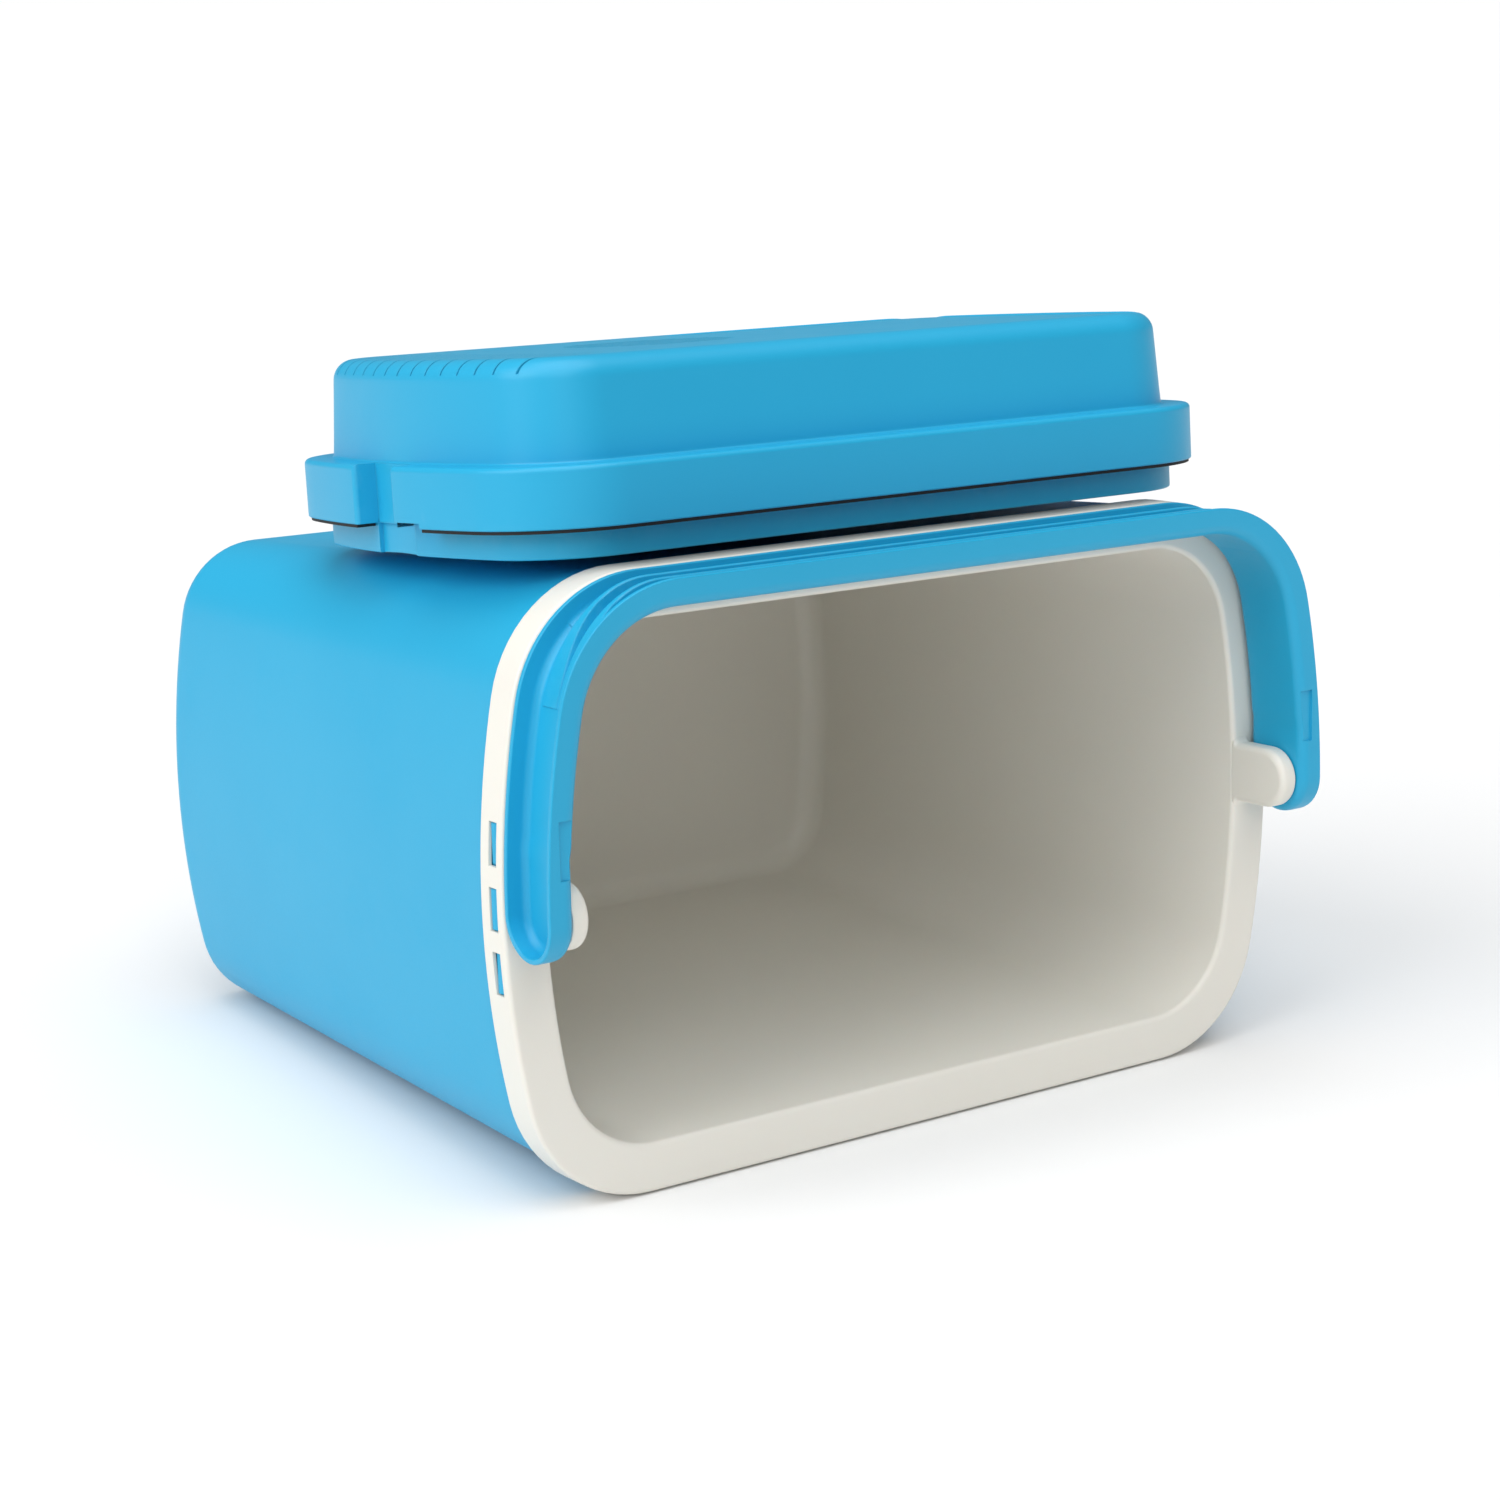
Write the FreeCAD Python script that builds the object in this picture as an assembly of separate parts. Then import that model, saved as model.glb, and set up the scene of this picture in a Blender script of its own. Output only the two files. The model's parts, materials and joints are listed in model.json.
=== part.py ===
import FreeCAD, Part

import os
from math import atan2, cos, degrees, hypot, radians, sqrt

# A thermoelectric cooler chest with its lid off. The box lies on one long side, its opening
# facing -Y, and the lid lies right way up on the long side that faces up. Every piece is first
# built in the standing frame of the box or of the lid (z up, x along the length), then laid.
# Millimetres. Row frame: X along the length, Y from the opening towards the base, Z up.

V = FreeCAD.Vector

# ---------------------------------------------------------------- driving dimensions: the box
BOX_LENGTH = 400.0          # over the collar
BOX_WIDTH = 250.0           # over the collar
BOX_HEIGHT = 326.0          # base to rim face
END_ARC_R = 392.0           # bow of the short sides
CORNER_R = 56.0             # collar's plan corners
DRAFT_X = 12.0              # how much narrower each short side is at the base
DRAFT_Y = 15.5              # how much narrower each long side is at the base
BASE_CORNER_R = 39.0
BASE_FILLET_R = 17.0
SHELL_WALL = 2.4
LINER_WALL = 2.4
SHELL_STEP = 1.8            # shell lies this far inside the collar's outer face
FIT_GAP = 0.3               # clearance between pieces of one body
RIM_W = 20.0                # width of the flat rim round the opening
RIM_T = 2.6
RIM_EDGE_R = 1.8
COLLAR_DEPTH = 16.0
OPENING_CORNER_R = CORNER_R - 15.0
LINER_BASE_CORNER_R = BASE_CORNER_R - 8.0
FLOOR_THICKNESS = 27.0      # outside of the base to the floor of the tub
FLOOR_FILLET_R = 12.0

WINDOW_COUNT = 3            # snap windows in each short side of the collar
WINDOW_LENGTH = 17.2
WINDOW_HEIGHT = 5.6
WINDOW_PITCH = 25.5
WINDOW_DROP = 7.0           # window centre below the rim face
TAB_GAP = 0.4               # round each snap tab in its window

# ---------------------------------------------------------------- the ears and the handle
EAR_R = 13.3
EAR_T = 8.0
SOCKET_R = 7.0
SOCKET_DEPTH = 5.6
SOCKET_CLEARANCE = 0.08     # radial, round the handle's studs
STUD_END_GAP = 0.5
HANDLE_W = 32.8             # width of the band, away from the rim
HANDLE_RIM_GAP = 1.2        # folded band above the rim face
PIVOT_RISE = HANDLE_W / 2 + HANDLE_RIM_GAP  # pivot axis above the rim face
ARM_T = 11.4                # thickness of the arms
BRIDGE_T = 11.4             # thickness of the bridge
BRIDGE_INNER_R = CORNER_R - BRIDGE_T
HANDLE_SKIN = 2.6           # floor of the channel
CHANNEL_WALL = 2.2
ARM_GAP = 0.4               # between an ear and its arm
ARM_FLAT_REACH = HANDLE_W / 2 + 9.6     # flat beside the ear, measured from the pivot
RIB_COUNT = 2
RIB_T = 2.0
RIB_DROP = 1.0              # rib tops below the channel's edge
RIB_CORNER_R = CORNER_R + 30.0          # runs the ribs out at the corners
CATCH_START = 17.5          # shallow catch recess on the front edge of each arm
CATCH_LENGTH = 22.5
CATCH_REACH = 5.8
CATCH_DEPTH = 1.0

# ---------------------------------------------------------------- the lid
LID_END_GAP = 0.6           # between the lid and each arm of the handle, lid on
LID_SIDE_GAP = 6.6          # between the lid and the folded bridge, lid on
LID_HALF_LENGTH = BOX_LENGTH / 2 - ARM_T - LID_END_GAP
LID_HALF_WIDTH = BOX_WIDTH / 2 - BRIDGE_T - LID_SIDE_GAP
LID_ARC_R = END_ARC_R - 62.0
LID_CORNER_R = BRIDGE_INNER_R + 4.4
PLUG_INSET = 9.8            # plug ring inside the skirt
PLUG_HEIGHT = 12.3          # plug ring's depth, up to the skirt's bottom edge
PLUG_WALL = 2.2
SKIRT_HEIGHT = 24.2
LID_WALL = 2.4
LID_HEIGHT = 77.0
HOUSING_INSET = 12.5
HOUSING_DRAFT = 2.2
HOUSING_EDGE_R = 9.0
SKIRT_EDGE_R = 2.2
SEAL_T = 1.4
SEAL_INSET = 1.2
FLANGE_T = 2.0
SLOT_SIDE_GAP = 1.9         # between an ear and the slot it stands in, lid on
SLOT_FLOOR_GAP = 2.6
SLOT_WIDTH = 2 * (EAR_R + SLOT_SIDE_GAP)
SLOT_DEPTH = LID_HALF_LENGTH - (BOX_LENGTH / 2 - RIM_W - SLOT_FLOOR_GAP)
PLUG_RECESS = 2.3           # plug ring stands back behind each slot
NOTCH_LENGTH = 19.0
NOTCH_HEIGHT = 2.2
PAN_LIFT = 0.8              # underside of the base plate above the plug's edge
PAN_T = 2.4
INSULATION_TOP = 32.0
TRAY_START = 5.0            # shallow tray in the top
TRAY_END = LID_HALF_LENGTH - 30.0
TRAY_DEPTH = 0.6

VENT_COUNT = 15             # outlet slits over the edge at the fan's end
VENT_PITCH = 10.8
VENT_W = 1.0
VENT_INNER_X = LID_HALF_LENGTH - 60.0
VENT_DROP = 6.0
INTAKE_COUNT = 9            # intake slots over the fan
INTAKE_PITCH = 7.5
INTAKE_W = 2.6
INTAKE_R = 35.0

# ---------------------------------------------------------------- the cooling unit in the lid
STACK_X = -52.0             # centre of the cooling unit along the lid
COLD_FAN_SIZE = 70.0
HOT_FAN_SIZE = 80.0
FAN_WALL = 1.6
COLD_FAN_T = 9.0
HOT_FAN_T = 14.0
FAN_TIP_GAP = 1.2
FAN_HUB_R = 14.0
FAN_BLADES = 7
FAN_BLADE_T = 1.4
FAN_BLADE_TILT = 35.0
FAN_SHAFT_R = 1.5
FAN_SHAFT_CLEARANCE = 0.05
FAN_SPIDER_T = 2.5
FAN_SPIDER_W = 4.0
FAN_SCREW_INSET = 4.5       # screw holes, in from the frame's edges
GRILLE_SIZE = 92.0
GRILLE_T = 2.0
GRILLE_PROUD = 5.7          # stands this far below the plug ring, so the lid rests on it
GRILLE_EDGE_R = 3.0
GRILLE_SLOTS = 9
GRILLE_SLOT_W = 4.0
GRILLE_EDGE = 6.0           # solid border above and below the rows of slots
GRILLE_SLOT_MARGIN = 7.0    # from a slot's outer end to the grille's edge
GRILLE_BAR = 6.0            # bar down the middle
COLD_SINK_X = 84.0
COLD_SINK_Y = 84.0
SINK_BASE_T = 3.6
COLD_FIN_H = 13.0
FIN_T = 1.2
COLD_FINS = 13
SPACER_SIZE = 40.0
MODULE_SIZE = 40.0
MODULE_T = 3.8
HOT_SINK_X = 100.0
HOT_SINK_Y = 88.0
HOT_FINS = 15
HOT_FIN_H = 12.0
CLAMP_SPACING = 58.0        # clamp screws, corner to corner along x and y
CLAMP_SCREW_R = 1.7
SCREW_CLEARANCE = 0.2
SCREW_HEAD_R = 3.2
SCREW_HEAD_T = 2.0

BOSS_X = LID_HALF_LENGTH - 38.0         # lid screws
BOSS_Y = LID_HALF_WIDTH - 35.0
BOSS_R = 4.6
LID_SCREW_R = 1.6
LID_SCREW_LENGTH = 26.0

BOARD_X = LID_HALF_LENGTH - 96.0
BOARD_SIZE_X = 70.0
BOARD_SIZE_Y = 52.0
BOARD_T = 1.6
BOARD_STANDOFF = 5.0
STANDOFF_R = 2.5
STANDOFF_INSET = 4.0
COIL_SIZE = (22.0, 16.0, 14.0)
CAPACITOR_R = 5.0
CAPACITOR_H = 16.0
TERMINAL_SIZE = (18.0, 8.0, 10.0)
CHIP_SIZE = (12.0, 12.0, 3.0)

INLET_X = LID_HALF_LENGTH - 70.0        # power inlet, mode switch and lamp in the back
INLET_R = 9.0
INLET_DEPTH = 20.0
INLET_WALL = 2.0
INLET_FLOOR = 4.0
PIN_R = 1.2
PIN_SPACING = 6.0
PIN_DROP = 4.0              # pin tips behind the face
INLET_LIP_R = 12.0
INLET_LIP_T = 1.6
INLET_LIP_GAP = 0.7         # stands the flat lip off the drafted wall
CONTROL_Z = PLUG_HEIGHT + SKIRT_HEIGHT + 17.5
SWITCH_X = INLET_X - 44.0
SWITCH_LENGTH = 26.0
SWITCH_HEIGHT = 13.0
SWITCH_DEPTH = 9.0
SWITCH_FLOOR = 2.0
SWITCH_PROUD = 1.0
KNOB_PROUD = 3.0
SWITCH_KNOB_X = 8.0
SWITCH_KNOB_Z = 5.6
SWITCH_TRAVEL = 6.0
SWITCH_GAP = 0.35
LAMP_X = SWITCH_X - 24.0
LAMP_R = 2.5
LAMP_DEPTH = 6.0
LAMP_FLANGE_T = 1.5
LAMP_FLANGE_R = 3.5
LAMP_PROUD = 0.2

# ---------------------------------------------------------------- how the lid lies on the box
LID_LIE_X = 1.2             # lid's centre along the box
LID_SETBACK = 0.9           # rim face to the lid's near side
LID_LIE_DEPTH = LID_HALF_WIDTH + LID_SETBACK
LID_LIE_YAW = -0.6          # degrees
LID_LIE_GAP = 0.3           # between the grille and the wall it rests on


class Plan:
    """A plan outline: straight long sides, bowed short sides, tangent round corners."""

    def __init__(self, half_length, half_width, end_r, corner_r):
        self.half_length = half_length
        self.half_width = half_width
        self.end_r = end_r
        self.corner_r = corner_r

    def inset(self, d):
        """The outline a constant distance inside this one, or outside where d is negative."""
        return Plan(self.half_length - d, self.half_width - d, self.end_r - d, self.corner_r - d)

    def toward(self, other, t):
        """The outline a share t of the way to another one."""
        mine = (self.half_length, self.half_width, self.end_r, self.corner_r)
        theirs = (other.half_length, other.half_width, other.end_r, other.corner_r)
        return Plan(*[a + (b - a) * t for a, b in zip(mine, theirs)])

    def wire(self, z):
        bow_x = self.half_length - self.end_r
        corner_y = self.half_width - self.corner_r
        corner_x = bow_x + sqrt((self.end_r - self.corner_r) ** 2 - corner_y ** 2)
        ux = (corner_x - bow_x) / (self.end_r - self.corner_r)
        uy = corner_y / (self.end_r - self.corner_r)
        tangent_x = corner_x + self.corner_r * ux
        tangent_y = corner_y + self.corner_r * uy
        middle = hypot(ux, uy + 1.0)
        bend_x = corner_x + self.corner_r * ux / middle
        bend_y = corner_y + self.corner_r * (uy + 1.0) / middle

        def point(sx, sy, x, y):
            return V(sx * x, sy * y, z)

        def corner(sx, sy):
            ends = (point(sx, sy, tangent_x, tangent_y), point(sx, sy, corner_x, self.half_width))
            return Part.Arc(ends[0], point(sx, sy, bend_x, bend_y), ends[1]).toShape()

        def end(sx):
            low = point(sx, -1, tangent_x, tangent_y)
            high = point(sx, 1, tangent_x, tangent_y)
            return Part.Arc(low, V(sx * self.half_length, 0, z), high).toShape()

        def side(sy):
            ends = (point(1, sy, corner_x, self.half_width), point(-1, sy, corner_x, self.half_width))
            return Part.LineSegment(*ends).toShape()

        edges = [end(1), corner(1, 1), side(1), corner(-1, 1),
                 end(-1), corner(-1, -1), side(-1), corner(1, -1)]
        return Part.Wire(edges)

    def prism(self, z0, z1):
        return Part.Face(self.wire(z0)).extrude(V(0, 0, z1 - z0))


COLLAR = Plan(BOX_LENGTH / 2, BOX_WIDTH / 2, END_ARC_R, CORNER_R)
BASE = Plan(BOX_LENGTH / 2 - DRAFT_X, BOX_WIDTH / 2 - DRAFT_Y, END_ARC_R, BASE_CORNER_R)
OPENING = Plan(BOX_LENGTH / 2 - RIM_W, BOX_WIDTH / 2 - RIM_W, END_ARC_R - RIM_W, OPENING_CORNER_R)
TUB_BASE = Plan(OPENING.half_length - DRAFT_X, OPENING.half_width - DRAFT_Y,
                END_ARC_R - RIM_W, LINER_BASE_CORNER_R)
SKIRT = Plan(LID_HALF_LENGTH, LID_HALF_WIDTH, LID_ARC_R, LID_CORNER_R)
PLUG = SKIRT.inset(PLUG_INSET)

PIVOT_Z = BOX_HEIGHT + PIVOT_RISE
EAR_INNER_X = OPENING.half_length
EAR_OUTER_X = EAR_INNER_X + EAR_T
ARM_INNER_X = EAR_OUTER_X + ARM_GAP
SKIRT_BOTTOM = PLUG_HEIGHT
SKIRT_TOP = PLUG_HEIGHT + SKIRT_HEIGHT
CONTROL_RISE = (CONTROL_Z - SKIRT_TOP) / (LID_HEIGHT - SKIRT_TOP)
CONTROL_FACE_Y = LID_HALF_WIDTH - HOUSING_INSET - HOUSING_DRAFT * CONTROL_RISE


# ================================================================ small helpers
def box(x0, x1, y0, y1, z0, z1):
    return Part.makeBox(x1 - x0, y1 - y0, z1 - z0, V(x0, y0, z0))


def block(cx, cy, sx, sy, z0, z1):
    """A block centred on (cx, cy)."""
    return box(cx - sx / 2, cx + sx / 2, cy - sy / 2, cy + sy / 2, z0, z1)


def rod(x, y, z0, z1, r):
    return Part.makeCylinder(r, z1 - z0, V(x, y, z0))


def rod_x(x0, x1, y, z, r):
    return Part.makeCylinder(r, x1 - x0, V(x0, y, z), V(1, 0, 0))


def rod_y(x, y0, y1, z, r):
    return Part.makeCylinder(r, y1 - y0, V(x, y0, z), V(0, 1, 0))


def join(shapes):
    first = shapes[0]
    return first.fuse(list(shapes[1:])).removeSplitter() if len(shapes) > 1 else first


def both_ends(shape):
    """The shape and its copy turned half round the vertical axis."""
    return [shape, shape.copy().rotated(V(0, 0, 0), V(0, 0, 1), 180)]


def loft(low, z0, high, z1):
    return Part.makeLoft([low.wire(z0), high.wire(z1)], True, True)


def drafted(base, top, d, z0, z1):
    """A solid between two heights of a drafted wall, a distance d inside it."""
    low = base.toward(top, z0 / BOX_HEIGHT).inset(d)
    high = base.toward(top, z1 / BOX_HEIGHT).inset(d)
    return loft(low, z0, high, z1)


def edges_at(shape, z):
    """The edges that lie level at one height."""
    found = []
    for edge in shape.Edges:
        bounds = edge.BoundBox
        if abs(bounds.ZMin - z) < 1e-3 and abs(bounds.ZMax - z) < 1e-3:
            found.append(edge)
    return found


def fillet_at(shape, z, radius):
    return shape.makeFillet(radius, edges_at(shape, z))


def ring(plan, wall, z0, z1):
    return plan.prism(z0, z1).cut(plan.inset(wall).prism(z0, z1))


# ================================================================ the box
def outer_shell():
    """Blue outer tub: drafted walls, rounded base, snap tabs for the collar's windows."""
    top = BOX_HEIGHT - RIM_T - FIT_GAP
    body = fillet_at(drafted(BASE, COLLAR, SHELL_STEP, 0, top), 0, BASE_FILLET_R)
    inside = SHELL_STEP + SHELL_WALL
    hollow = drafted(BASE, COLLAR, inside, SHELL_WALL, top + 1)
    hollow = fillet_at(hollow, SHELL_WALL, BASE_FILLET_R - SHELL_WALL)
    tabs = []
    for y in window_places():
        z = BOX_HEIGHT - WINDOW_DROP
        length = WINDOW_LENGTH - 2 * TAB_GAP
        height = WINDOW_HEIGHT - 2 * TAB_GAP
        slab = block(0, y, BOX_LENGTH, length, z - height / 2, z + height / 2)
        tabs.append(slab.common(COLLAR.inset(TAB_GAP).prism(z - height, z + height)))
    return join([body] + tabs).cut(hollow)


def window_places():
    middle = (WINDOW_COUNT - 1) / 2
    return [(i - middle) * WINDOW_PITCH for i in range(WINDOW_COUNT)]


def tub_solid(d, floor_z, top, fillet):
    """The tub's inside, grown outwards by d."""
    return fillet_at(drafted(TUB_BASE, OPENING, -d, floor_z, top), floor_z, fillet)


def ear():
    """One ear of the rim, at the +X end: a round-ended plate with a blind socket."""
    root = BOX_HEIGHT - RIM_T
    plate = box(EAR_INNER_X, EAR_OUTER_X, -EAR_R, EAR_R, root, PIVOT_Z)
    plate = plate.fuse(rod_x(EAR_INNER_X, EAR_OUTER_X, 0, PIVOT_Z, EAR_R)).removeSplitter()
    socket = rod_x(EAR_OUTER_X - SOCKET_DEPTH, EAR_OUTER_X + 1, 0, PIVOT_Z, SOCKET_R)
    return plate.cut(socket)


def inner_liner():
    """White tub with its rim, collar, snap windows and the two ears."""
    outside = tub_solid(LINER_WALL, FLOOR_THICKNESS - LINER_WALL, BOX_HEIGHT - RIM_T / 2,
                        FLOOR_FILLET_R + LINER_WALL)
    rim = fillet_at(COLLAR.prism(BOX_HEIGHT - COLLAR_DEPTH, BOX_HEIGHT), BOX_HEIGHT, RIM_EDGE_R)
    under = COLLAR.inset(SHELL_STEP - FIT_GAP).prism(BOX_HEIGHT - COLLAR_DEPTH, BOX_HEIGHT - RIM_T)
    cuts = [tub_solid(0, FLOOR_THICKNESS, BOX_HEIGHT + 1, FLOOR_FILLET_R)]
    for y in window_places():
        z = BOX_HEIGHT - WINDOW_DROP
        cuts.append(block(0, y, BOX_LENGTH + 2, WINDOW_LENGTH,
                          z - WINDOW_HEIGHT / 2, z + WINDOW_HEIGHT / 2))
    collar = rim.cut(under).cut(join(cuts[1:]))
    body = join([outside, collar]).cut(cuts[0])
    return join([body] + both_ends(ear()))


def wall_insulation():
    """Foam that fills the space between the shell and the liner."""
    inside = SHELL_STEP + SHELL_WALL + FIT_GAP
    bottom = SHELL_WALL + FIT_GAP
    top = BOX_HEIGHT - RIM_T - FIT_GAP
    body = fillet_at(drafted(BASE, COLLAR, inside, bottom, top), bottom, BASE_FILLET_R - bottom)
    d = LINER_WALL + FIT_GAP
    hollow = tub_solid(d, FLOOR_THICKNESS - d, BOX_HEIGHT, FLOOR_FILLET_R + d)
    return body.cut(hollow)


# ================================================================ the handle
def handle_profile(margin):
    """Side view of the band, extruded across the box: straight, with a round end at the pivot."""
    half = HANDLE_W / 2 - margin
    straight = box(-BOX_LENGTH, BOX_LENGTH, 0, BOX_WIDTH, PIVOT_Z - half, PIVOT_Z + half)
    return straight.fuse(rod_x(-BOX_LENGTH, BOX_LENGTH, 0, PIVOT_Z, half)).removeSplitter()


def carry_handle():
    """Bail folded on the rim: a ribbed channel open outwards, with a stud at each pivot."""
    z0 = PIVOT_Z - HANDLE_W / 2
    z1 = PIVOT_Z + HANDLE_W / 2
    inner = Plan(COLLAR.half_length - ARM_T, COLLAR.half_width - BRIDGE_T,
                 COLLAR.end_r - ARM_T, BRIDGE_INNER_R)
    floor = inner.inset(-HANDLE_SKIN)
    band = COLLAR.prism(z0, z1).cut(inner.prism(z0, z1)).common(handle_profile(0))
    trough = COLLAR.inset(-1).prism(z0, z1).cut(floor.prism(z0, z1))
    band = band.cut(trough.common(handle_profile(CHANNEL_WALL)))
    parts = [band]
    rib_top = Plan(inner.half_length, COLLAR.half_width - RIB_DROP, inner.end_r, RIB_CORNER_R)
    bay = HANDLE_W - 2 * CHANNEL_WALL
    pitch = (bay + RIB_T) / (RIB_COUNT + 1)
    for i in range(RIB_COUNT):
        z = z0 + CHANNEL_WALL - RIB_T / 2 + (i + 1) * pitch
        rib = rib_top.prism(z - RIB_T / 2, z + RIB_T / 2)
        rib = rib.cut(floor.inset(1.0).prism(z - RIB_T, z + RIB_T))
        parts.append(rib.common(box(-BOX_LENGTH, BOX_LENGTH, BOX_WIDTH / 4, BOX_WIDTH, z0, z1)))
    band = join(parts)
    flat = box(-ARM_INNER_X, ARM_INNER_X, -ARM_FLAT_REACH, ARM_FLAT_REACH, z0, z1)
    band = band.cut(flat)
    reach = inner.half_length + CATCH_REACH
    catch = box(-reach, reach, CATCH_START, CATCH_START + CATCH_LENGTH, z1 - CATCH_DEPTH, z1 + 1)
    band = band.cut(catch)
    stud_tip = EAR_OUTER_X - SOCKET_DEPTH + STUD_END_GAP
    stud = rod_x(stud_tip, ARM_INNER_X + 1, 0, PIVOT_Z, SOCKET_R - SOCKET_CLEARANCE)
    return join([band] + both_ends(stud))


# ================================================================ the lid
def housing(d, z0):
    """The raised part of the lid, a distance d inside its outer face."""
    foot = SKIRT.inset(HOUSING_INSET + d)
    crown = SKIRT.inset(HOUSING_INSET + HOUSING_DRAFT + d)
    body = loft(foot, SKIRT_TOP, crown, LID_HEIGHT - d)
    body = fillet_at(body, LID_HEIGHT - d, HOUSING_EDGE_R - d)
    if z0 < SKIRT_TOP:
        body = body.fuse(foot.prism(z0, SKIRT_TOP)).removeSplitter()
    return body


def slot_block(d, z0=0.0):
    """Space of the two ear slots, grown by d, upwards from z0."""
    x = LID_HALF_LENGTH - SLOT_DEPTH - d
    half = SLOT_WIDTH / 2 + d
    slot = box(x, LID_HALF_LENGTH + 1, -half, half, z0, SKIRT_TOP + 1)
    return join(both_ends(slot))


def notch_block():
    """Shallow notches in the skirt's bottom edge, one beside each slot."""
    y1 = -SLOT_WIDTH / 2
    notch = box(-LID_HALF_LENGTH - 1, -LID_HALF_LENGTH + HOUSING_INSET,
                y1 - NOTCH_LENGTH, y1, SKIRT_BOTTOM - 4, SKIRT_BOTTOM + NOTCH_HEIGHT)
    return join(both_ends(notch))


def lid_cover():
    """Blue upper moulding: skirt, housing, ear slots, vents, intake and screw bosses."""
    skirt = fillet_at(SKIRT.prism(SKIRT_BOTTOM, SKIRT_TOP), SKIRT_TOP, SKIRT_EDGE_R)
    solid = join([skirt, housing(0, SKIRT_TOP - 1)]).cut(slot_block(0))
    hollow = SKIRT.inset(LID_WALL).prism(SKIRT_BOTTOM - 1, SKIRT_TOP - LID_WALL)
    hollow = hollow.cut(slot_block(LID_WALL)).fuse(housing(LID_WALL, SKIRT_BOTTOM - 1))
    cover = solid.cut(hollow)
    top = LID_HEIGHT
    cuts = [notch_block()]
    for i in range(VENT_COUNT):
        y = (i - (VENT_COUNT - 1) / 2) * VENT_PITCH
        cuts.append(box(-LID_HALF_LENGTH, -VENT_INNER_X, y - VENT_W / 2, y + VENT_W / 2,
                        top - VENT_DROP, top + 1))
    for i in range(INTAKE_COUNT):
        y = (i - (INTAKE_COUNT - 1) / 2) * INTAKE_PITCH
        half = sqrt(INTAKE_R ** 2 - y ** 2)
        cuts.append(block(STACK_X, y, 2 * half, INTAKE_W, top - LID_WALL - 1, top + 1))
    tray = (HOUSING_INSET + HOUSING_DRAFT + HOUSING_EDGE_R)
    cuts.append(block((TRAY_START + TRAY_END) / 2, 0, TRAY_END - TRAY_START,
                      2 * (LID_HALF_WIDTH - tray), top - TRAY_DEPTH, top + 1))
    cuts.append(rod_y(INLET_X, 0, LID_HALF_WIDTH, CONTROL_Z, INLET_R + FIT_GAP))
    cuts.append(switch_space(FIT_GAP, LID_HALF_WIDTH))
    cuts.append(rod_y(LAMP_X, 0, LID_HALF_WIDTH, CONTROL_Z, LAMP_R + FIT_GAP))
    for tool in cuts:
        cover = cover.cut(tool)
    bosses = [rod(x, y, PAN_LIFT + PAN_T, LID_HEIGHT - LID_WALL / 2, BOSS_R)
              for x, y in boss_places()]
    cover = join([cover] + bosses)
    for x, y in boss_places():
        cover = cover.cut(rod(x, y, 0, LID_SCREW_LENGTH + 1, LID_SCREW_R + SCREW_CLEARANCE / 2))
    return cover


def boss_places():
    return [(x, y) for x in (-BOSS_X, 0, BOSS_X) for y in (-BOSS_Y, BOSS_Y)]


def switch_space(d, y1):
    x = SWITCH_LENGTH / 2 + d
    z = SWITCH_HEIGHT / 2 + d
    return box(SWITCH_X - x, SWITCH_X + x, CONTROL_FACE_Y - SWITCH_DEPTH - LID_WALL, y1,
               CONTROL_Z - z, CONTROL_Z + z)


def lid_base():
    """Blue lower moulding: plug ring, the flange that closes the skirt, and the base plate."""
    flange_top = SKIRT_BOTTOM + FLANGE_T
    plug = ring(PLUG, PLUG_WALL, 0, flange_top)
    flange = SKIRT.inset(LID_WALL + FIT_GAP).prism(SKIRT_BOTTOM, flange_top)
    flange = flange.cut(PLUG.inset(PLUG_WALL).prism(SKIRT_BOTTOM, flange_top))
    plate = PLUG.prism(PAN_LIFT, PAN_LIFT + PAN_T)
    body = join([plug, flange, plate])
    x = PLUG.half_length - PLUG_RECESS
    half = SLOT_WIDTH / 2
    recess = box(x, LID_HALF_LENGTH, -half, half, -1, flange_top + 1)
    wall = box(x - PLUG_WALL, x, -half - PLUG_WALL, half + PLUG_WALL, PAN_LIFT, flange_top)
    sides = box(x - PLUG_WALL, PLUG.half_length - PLUG_WALL / 2, -half - PLUG_WALL,
                half + PLUG_WALL, PAN_LIFT, flange_top)
    for piece in both_ends(join([wall, sides])):
        body = body.fuse(piece)
    for piece in both_ends(recess):
        body = body.cut(piece)
    body = body.cut(slot_block(LID_WALL + FIT_GAP, SKIRT_BOTTOM - FIT_GAP)).removeSplitter()
    size = GRILLE_SIZE + 2 * FIT_GAP
    body = body.cut(block(STACK_X, 0, size, size, -1, PAN_LIFT + PAN_T + 1))
    for x, y in boss_places():
        body = body.cut(rod(x, y, -1, flange_top, LID_SCREW_R + SCREW_CLEARANCE))
    return body


def lid_seal():
    """Black flat seal under the flange, which closes on the rim."""
    z0 = SKIRT_BOTTOM - SEAL_T
    seal = SKIRT.inset(SEAL_INSET).prism(z0, SKIRT_BOTTOM)
    seal = seal.cut(PLUG.inset(-FIT_GAP).prism(z0, SKIRT_BOTTOM))
    seal = seal.cut(slot_block(LID_WALL))
    return seal.cut(notch_block())


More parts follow.
